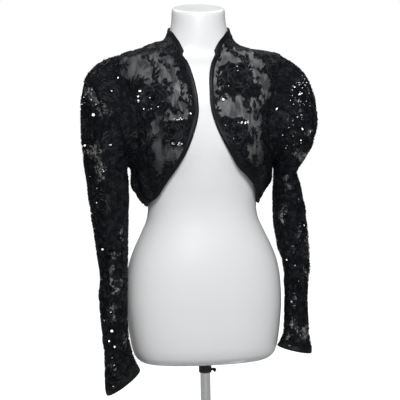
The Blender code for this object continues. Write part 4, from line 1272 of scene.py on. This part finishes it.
# Parts where the net shows bare, as seen from the camera.
OpenNet = namedtuple("OpenNet", "across level half_across half_height")
OPEN_NET = table(
    OpenNet,
    (-0.1400, 0.797, 0.041, 0.032), (-0.1040, 0.798, 0.034, 0.040), (-0.0680, 0.790, 0.026, 0.034),
    (-0.0500, 0.745, 0.020, 0.034), (-0.0400, 0.722, 0.020, 0.044), (-0.0620, 0.692, 0.038, 0.013),
    (-0.0930, 0.650, 0.016, 0.038), (-0.0560, 0.608, 0.028, 0.026), (-0.0860, 0.594, 0.018, 0.026),
    (0.0440, 0.818, 0.016, 0.030), (0.0860, 0.820, 0.038, 0.019), (0.1220, 0.793, 0.018, 0.030),
    (0.1404, 0.748, 0.013, 0.038), (0.0360, 0.768, 0.015, 0.036), (0.0800, 0.709, 0.050, 0.028),
    (0.1140, 0.678, 0.020, 0.036), (0.1200, 0.612, 0.022, 0.030), (-0.2360, 0.752, 0.018, 0.016),
    (-0.2230, 0.730, 0.020, 0.018), (-0.2040, 0.708, 0.018, 0.018), (-0.2560, 0.770, 0.005, 0.016),
    (-0.2330, 0.622, 0.026, 0.018), (-0.2200, 0.580, 0.014, 0.034), (-0.1930, 0.391, 0.012, 0.016),
    (-0.1970, 0.340, 0.011, 0.040), (-0.1815, 0.327, 0.007, 0.022), (-0.1970, 0.272, 0.010, 0.032),
    (-0.1980, 0.145, 0.009, 0.022), (-0.1730, 0.205, 0.006, 0.026), (-0.1760, 0.440, 0.007, 0.024),
    (0.2415, 0.756, 0.008, 0.018), (0.2180, 0.722, 0.012, 0.024), (0.2350, 0.651, 0.014, 0.014),
    (0.2180, 0.606, 0.018, 0.019), (0.1780, 0.475, 0.010, 0.028), (0.2150, 0.437, 0.010, 0.020),
    (0.2313, 0.407, 0.008, 0.034), (0.2236, 0.350, 0.009, 0.018), (0.1900, 0.545, 0.010, 0.024),
    (0.2000, 0.285, 0.009, 0.020), (0.2170, 0.212, 0.018, 0.018), (0.1960, 0.236, 0.010, 0.018),
    (0.1850, 0.205, 0.008, 0.016), (0.2000, 0.410, 0.006, 0.026),
)
HIDDEN_OPENINGS = 26
HIDDEN_OPENING_SPACING = 0.05
HIDDEN_OPENING_REACH = (0.010, 0.024)
NARROW_PANEL_SCALE = 0.5

# Waves that make the outline of a bare place ragged: their size, and their radians for each
# metre across and up. A bare place ends at BARE_EDGE of its reach and fades before it.
Wave = namedtuple("Wave", "size across level")
RAGGED_ACROSS = table(Wave, (0.0045, 90, 210), (0.003, -370, 430))
RAGGED_LEVEL = table(Wave, (0.0045, 190, -110), (0.003, 410, 350))
RAGGED_REACH = 60
BARE_EDGE, BARE_FADE = 1.15, 0.3

# Sequins that catch the light, as seen from the camera: across and level in metres.
GLINTS = [
    (-0.1750, 0.7748), (-0.1875, 0.7452), (-0.1257, 0.7452), (-0.1292, 0.7343),
    (-0.1290, 0.7258), (-0.2258, 0.6966), (-0.2444, 0.6331), (-0.1910, 0.6331),
    (-0.0206, 0.6944), (0.2137, 0.7343), (0.1653, 0.7054), (0.0488, 0.7236),
    (0.0863, 0.6736), (0.0937, 0.6728), (0.2183, 0.6605), (-0.2121, 0.4110),
    (-0.1970, 0.2360), (-0.2030, 0.2140), (-0.1920, 0.2020), (0.1860, 0.3780),
]
GLINT_RADIUS = (0.0019, 0.0031)

# Clusters of smaller sequins and how far they tilt out of the light.
GlintArea = namedtuple("GlintArea", "across level half_across half_height count tilt")
GLINT_AREAS = table(
    GlintArea,
    (0.2160, 0.7300, 0.022, 0.052, 80, 0.12), (0.2050, 0.6500, 0.030, 0.040, 26, 0.16),
    (-0.2330, 0.7300, 0.024, 0.034, 26, 0.16), (-0.0425, 0.6830, 0.013, 0.0025, 9, 0.05),
    (-0.0490, 0.6310, 0.011, 0.0030, 9, 0.05), (0.0900, 0.6740, 0.012, 0.0060, 8, 0.08),
    (-0.0980, 0.7280, 0.036, 0.026, 10, 0.16), (0.0800, 0.7700, 0.034, 0.030, 8, 0.16),
    (-0.2200, 0.5000, 0.024, 0.180, 30, 0.16), (-0.2000, 0.2200, 0.018, 0.110, 24, 0.16),
    (0.2050, 0.3600, 0.020, 0.190, 34, 0.16),
)
CLUSTER_RADIUS = (0.0009, 0.0016)

# Studio lights: square, each aimed at a level on the form's axis.
KEY_PLACE = Vector((-0.09, -2.25, 2.02))
Light = namedtuple("Light", "name place aim_level size power")
LIGHTS = table(
    Light,
    ("key", KEY_PLACE, 0.50, 0.76, 61),
    ("fill", (-0.3, -3.2, 1.5), 0.6, 1.4, 5.5),
    ("top_left", (0.9, 1.0, 2.5), 0.7, 1.0, 20),
    ("top_right", (-0.9, 1.0, 2.5), 0.7, 1.0, 20),
)
ROOM_LIGHT = 0.13
FLOOR_SIZE = 30

# How bare a sleeve's far layer is behind a bare place of its near layer, and the least reach
# of a bare place that a negative margin leaves.
FAR_LAYER_BARENESS = 0.55
LEAST_REACH = 0.0001


def view_direction():
    """From what the camera looks at towards the camera."""
    return Vector((
        math.sin(VIEW_AZIMUTH) * math.cos(VIEW_ELEVATION),
        -math.cos(VIEW_AZIMUTH) * math.cos(VIEW_ELEVATION),
        math.sin(VIEW_ELEVATION),
    ))


def view_axes():
    """Directions towards the camera, to the right of its view and up in it."""
    back = view_direction()
    sideways = Vector((math.cos(VIEW_AZIMUTH), math.sin(VIEW_AZIMUTH), 0))
    return back, sideways, back.cross(sideways)


def seen_place(tree, across, level):
    """The spot of a panel that the camera sees at that place in its view, or None."""
    back, sideways, upward = view_axes()
    start = Vector((0, 0, VIEW_TARGET.z)) + sideways * across
    start += upward * (level - VIEW_TARGET.z) + back
    spot, _, _, _ = tree.ray_cast(start, -back)
    return spot


def bareness(name, points, hidden, grow=0.0):
    """For each point of a panel, how far into bare net it is: 0 outside and 1 well inside."""
    points = np.asarray(points)
    _, sideways, upward = view_axes()
    off = points - [0, 0, VIEW_TARGET.z]
    across = off @ np.array(sideways)
    level = VIEW_TARGET.z + off @ np.array(upward)
    ragged = [
        sum(wave.size * np.sin(wave.level * level + wave.across * across) for wave in waves)
        for waves in (RAGGED_ACROSS, RAGGED_LEVEL)
    ]
    across, level = across + ragged[0], level + ragged[1]
    nearest = np.full(len(off), 2.0)
    if name not in ("back", "collar"):
        for area in OPEN_NET:
            away = np.hypot((across - area.across) / max(area.half_across + grow, LEAST_REACH),
                            (level - area.level) / max(area.half_height + grow, LEAST_REACH))
            nearest = np.minimum(nearest, away)
    for place, reach in hidden:
        away = np.linalg.norm(points - place, axis=1) / max(reach + grow, LEAST_REACH)
        nearest = np.minimum(nearest, away + RAGGED_REACH * ragged[0])
    return np.clip((BARE_EDGE - nearest) / BARE_FADE, 0, 1)


def hidden_openings(name, net, random):
    """Bare places on the sides that the photo doesn't show."""
    if name.startswith("front"):
        return []
    places = scatter(net, random, HIDDEN_OPENING_SPACING, HIDDEN_OPENINGS)
    reaches = random.uniform(*HIDDEN_OPENING_REACH, len(places))
    scale = 1.0 if name == "back" else NARROW_PANEL_SCALE
    return [(place, reach * scale) for place, reach in zip(places, reaches)]


def darn(name, net, hidden):
    """Stores how closely each point of the net's ground is darned."""
    mesh = net.data
    points, normals = (np.empty(len(mesh.vertices) * 3) for _ in range(2))
    mesh.vertices.foreach_get("co", points)
    mesh.vertices.foreach_get("normal", normals)
    bare = bareness(name, points.reshape(-1, 3), hidden)
    if name.startswith("sleeve"):
        behind = normals.reshape(-1, 3) @ np.array(view_direction()) < 0
        bare = np.where(behind, bare * FAR_LAYER_BARENESS, bare)
    layer = mesh.attributes.new("darned", "FLOAT", "POINT")
    layer.data.foreach_set("value", (1 - bare).astype(np.float32))


def scatter(net, random, spacing, tries):
    """Places spread over a panel, none nearer to another than the spacing."""
    mesh = net.data
    count = len(mesh.polygons)
    areas, centres = np.empty(count), np.empty(count * 3)
    mesh.polygons.foreach_get("area", areas)
    mesh.polygons.foreach_get("center", centres)
    centres = centres.reshape(-1, 3)
    picked = random.choice(count, size=tries, p=areas / areas.sum())
    places = np.empty((0, 3))
    for centre in centres[picked]:
        if (((places - centre) ** 2).sum(1) > spacing * spacing).all():
            places = np.vstack([places, centre])
    return places


def far_from(places, place, distance):
    if len(places) == 0:
        return True
    return (((np.array(places) - place) ** 2).sum(1) > distance * distance).all()


# Passes of smaller motifs over a panel: how far apart, how many tries, how much bare net
# they keep clear (with a negative margin they reach into it), and room round big flowers.
Pass = namedtuple("Pass", "kind spacing tries margin room")
PASSES = table(
    Pass,
    ("edge", 0.019, 4000, -0.006, 0.012),
    ("spray", 0.015, 5000, 0.003, 0.016),
    ("rosette", 0.0122, 9000, 0.001, 0.013),
)
SLEEVE_PASSES = [Pass("filling", 0.0200, 3000, -1.0, 0.012)]
FLOWER_SPACING = {"collar": 0.024}
USUAL_FLOWER_SPACING = 0.046
FLOWER_TRIES = 1200
FLOWER_MARGIN = 0.014
LOW_SLEEVE_LEVEL = 0.50

# Ranges of radius or length, and of numbers of petals, leaves or pairs of leaves.
FLOWER_RADIUS, FLOWER_PETALS = (0.020, 0.025), (7, 10)
LOW_SLEEVE_FLOWER_RADIUS = (0.016, 0.019)
COLLAR_FLOWER_RADIUS = 0.010
ROSETTE_RADIUS, ROSETTE_PETALS = (0.0055, 0.0080), (4, 7)
FILLING_LENGTH, FILLING_PAIRS, FILLING_LEAF = (0.012, 0.020), 3, 0.0075
STAR_SHARE, STAR_RADIUS, STAR_LEAVES = 0.25, (0.009, 0.014), (5, 8)
SPRAY_LENGTH, SPRAY_PAIRS, SPRAY_LEAF = (0.018, 0.030), (3, 5), (0.008, 0.012)
FIRST_SEED = 40


def embroider(name, net, seed):
    """Covers one panel: big flowers, leaf sprays round them, then small fillings."""
    work = Embroidery(name, net, seed)
    random = work.random
    hidden = hidden_openings(name, net, random)
    darn(name, net, hidden)
    flowers = place_motifs(name, work)
    spacing = FLOWER_SPACING.get(name, USUAL_FLOWER_SPACING)
    places = scatter(net, random, spacing, FLOWER_TRIES)
    for place, bare in zip(places, bareness(name, places, hidden, FLOWER_MARGIN)):
        if bare > 0 or not far_from(flowers, place, spacing):
            continue
        low_sleeve = name.startswith("sleeve") and place[2] < LOW_SLEEVE_LEVEL
        size = random.uniform(*(LOW_SLEEVE_FLOWER_RADIUS if low_sleeve else FLOWER_RADIUS))
        if name == "collar":
            size = COLLAR_FLOWER_RADIUS
        work.flower(place, size, int(random.integers(*FLOWER_PETALS)), random.uniform(0, 2))
        flowers.append(place)
    for layer in PASSES + (SLEEVE_PASSES if name.startswith("sleeve") else []):
        places = scatter(net, random, layer.spacing, layer.tries)
        bare = bareness(name, places, hidden, layer.margin)
        for place, open_here in zip(places, bare):
            if open_here > 0 or not far_from(flowers, place, layer.room):
                continue
            turn = random.uniform(0, 2 * math.pi)
            if layer.kind == "rosette":
                work.rosette(place, random.uniform(*ROSETTE_RADIUS),
                             int(random.integers(*ROSETTE_PETALS)), turn)
            elif layer.kind == "filling":
                work.spray(place, random.uniform(*FILLING_LENGTH), FILLING_PAIRS, turn,
                           FILLING_LEAF)
            elif random.uniform() < STAR_SHARE:
                work.star(place, random.uniform(*STAR_RADIUS),
                          int(random.integers(*STAR_LEAVES)), turn)
            else:
                work.spray(place, random.uniform(*SPRAY_LENGTH),
                           int(random.integers(*SPRAY_PAIRS)), turn,
                           random.uniform(*SPRAY_LEAF))
    add_glints(work)
    return work


def place_motifs(name, work):
    """Sets the fronts' own motifs, and returns where the flowers among them are."""
    flowers = []
    if not name.startswith("front"):
        return flowers
    side = RIGHT if name.endswith("right") else LEFT
    for motif in FRONT_MOTIFS[side]:
        spot = seen_place(work.tree, motif.across, motif.level)
        if spot is None:
            continue
        if motif.kind == "flower":
            work.flower(spot, motif.size, motif.parts, motif.turn)
            flowers.append(np.array(spot))
        elif motif.kind == "star":
            work.star(spot, motif.size, motif.parts, motif.turn)
        else:
            work.spray(spot, motif.size, motif.parts, motif.turn, motif.leaf)
    return flowers


def add_glints(work):
    """Sequins that face halfway between the camera and the key light."""
    eye = VIEW_TARGET + view_direction() * VIEW_DISTANCE
    random = work.random
    spots = [(*place, random.uniform(*GLINT_RADIUS), 0.0) for place in GLINTS]
    for area in GLINT_AREAS:
        for _ in range(area.count):
            turn, far = random.uniform(0, 2 * math.pi), math.sqrt(random.uniform())
            spots.append((area.across + area.half_across * far * math.cos(turn),
                          area.level + area.half_height * far * math.sin(turn),
                          random.uniform(*CLUSTER_RADIUS), area.tilt))
    for across, level, radius, tilt in spots:
        spot = seen_place(work.tree, across, level)
        if spot is None:
            continue
        here = work.local_frame(spot)
        place = Vector(here[0])
        facing = (KEY_PLACE - place).normalized() + (eye - place).normalized()
        facing = facing.normalized() + Vector(random.normal(0, 1, 3)) * tilt
        work.disc(here, 0.0, 0.0, radius, facing.normalized())


def build_embroidery(nets):
    lace = thread_material()
    shine = sequin_material()
    pieces = {}
    for number, (name, net) in enumerate(nets.items()):
        work = embroider(name, net, FIRST_SEED + number)
        pieces[name] = [work.object(lace), work.sequins(shine)]
    return pieces


PAD_WELD = 0.00001
PAD_SMOOTHING = 2


def build_pads():
    """The shoulder pads keep their solids' shape, softened and crowned by subdivision."""
    felt = pad_material()
    for word in ("right", "left"):
        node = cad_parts["shoulder_pad_" + word]
        thing = bpy.data.objects.new("padding_" + word, node.data.copy())
        bpy.context.scene.collection.objects.link(thing)
        weld = thing.modifiers.new("weld", "WELD")
        weld.merge_threshold = PAD_WELD
        smooth = thing.modifiers.new("soften", "SUBSURF")
        smooth.levels = smooth.render_levels = PAD_SMOOTHING
        depsgraph = bpy.context.evaluated_depsgraph_get()
        mesh = bpy.data.meshes.new_from_object(thing.evaluated_get(depsgraph))
        thing.modifiers.clear()
        thing.data = mesh
        mesh.shade_smooth()
        finish_piece(thing, felt, "pad_cloth", "shoulder_pad_" + word)


def dress_stand():
    for slot, material, names in (
        ("steel", steel_material(), ("stand_base", "stand_pole")),
        ("black_metal", black_metal_material(), ("stand_socket", "stand_thumbscrew")),
    ):
        for name in names:
            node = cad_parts[name]
            node.data.materials.clear()
            node.data.materials.append(material)


def build_stage():
    bpy.ops.mesh.primitive_plane_add(size=FLOOR_SIZE, location=(0, 0, 0))
    floor = bpy.context.object
    floor.name = "floor"
    s = Shading("floor_pale")
    tone = s.noise(s.coordinate("Object"), 3.0, 2.0)
    s.set(Base_Color=s.blend(tone, rgb(0.38, 0.38, 0.38), rgb(0.42, 0.42, 0.42)),
          Roughness=0.9, Emission_Color=rgb(1, 1, 1))
    seen = s.node("ShaderNodeLightPath").outputs["Is Camera Ray"]
    s.set(Emission_Strength=seen)
    floor.data.materials.append(s.material)

    world = bpy.data.worlds.new("studio")
    world.use_nodes = True
    nodes, links = world.node_tree.nodes, world.node_tree.links
    path = nodes.new("ShaderNodeLightPath")
    strength = nodes.new("ShaderNodeMapRange")
    strength.inputs["To Min"].default_value = ROOM_LIGHT
    strength.inputs["To Max"].default_value = 1.0
    links.new(path.outputs["Is Camera Ray"], strength.inputs["Value"])
    links.new(strength.outputs[0], nodes["Background"].inputs["Strength"])
    nodes["Background"].inputs["Color"].default_value = (1, 1, 1, 1)
    bpy.context.scene.world = world


def build_lights():
    for row in LIGHTS:
        light = bpy.data.lights.new(row.name, "AREA")
        light.size = row.size
        light.energy = row.power
        thing = bpy.data.objects.new(row.name, light)
        thing.location = row.place
        aim = Vector((0, 0, row.aim_level)) - Vector(row.place)
        thing.rotation_mode = "QUATERNION"
        thing.rotation_quaternion = aim.to_track_quat("-Z", "Y")
        bpy.context.scene.collection.objects.link(thing)


def build_camera():
    data = bpy.data.cameras.new("camera")
    data.sensor_width = SENSOR
    data.lens = LENS
    camera = bpy.data.objects.new("camera", data)
    bpy.context.scene.collection.objects.link(camera)
    back = view_direction()
    aim = (-back).to_track_quat("-Z", "Y").to_matrix().to_4x4()
    place = Matrix.Translation(VIEW_TARGET + back * VIEW_DISTANCE)
    camera.matrix_world = place @ aim @ Matrix.Rotation(VIEW_ROLL, 4, "Z")
    bpy.context.scene.camera = camera


build_camera()
build_stage()
build_lights()
build_form()
nets = build_nets()
bindings = build_bindings()
pieces = build_embroidery(nets)
build_pads()
dress_stand()

bpy.context.scene.view_settings.view_transform = "Standard"
bpy.context.view_layer.update()
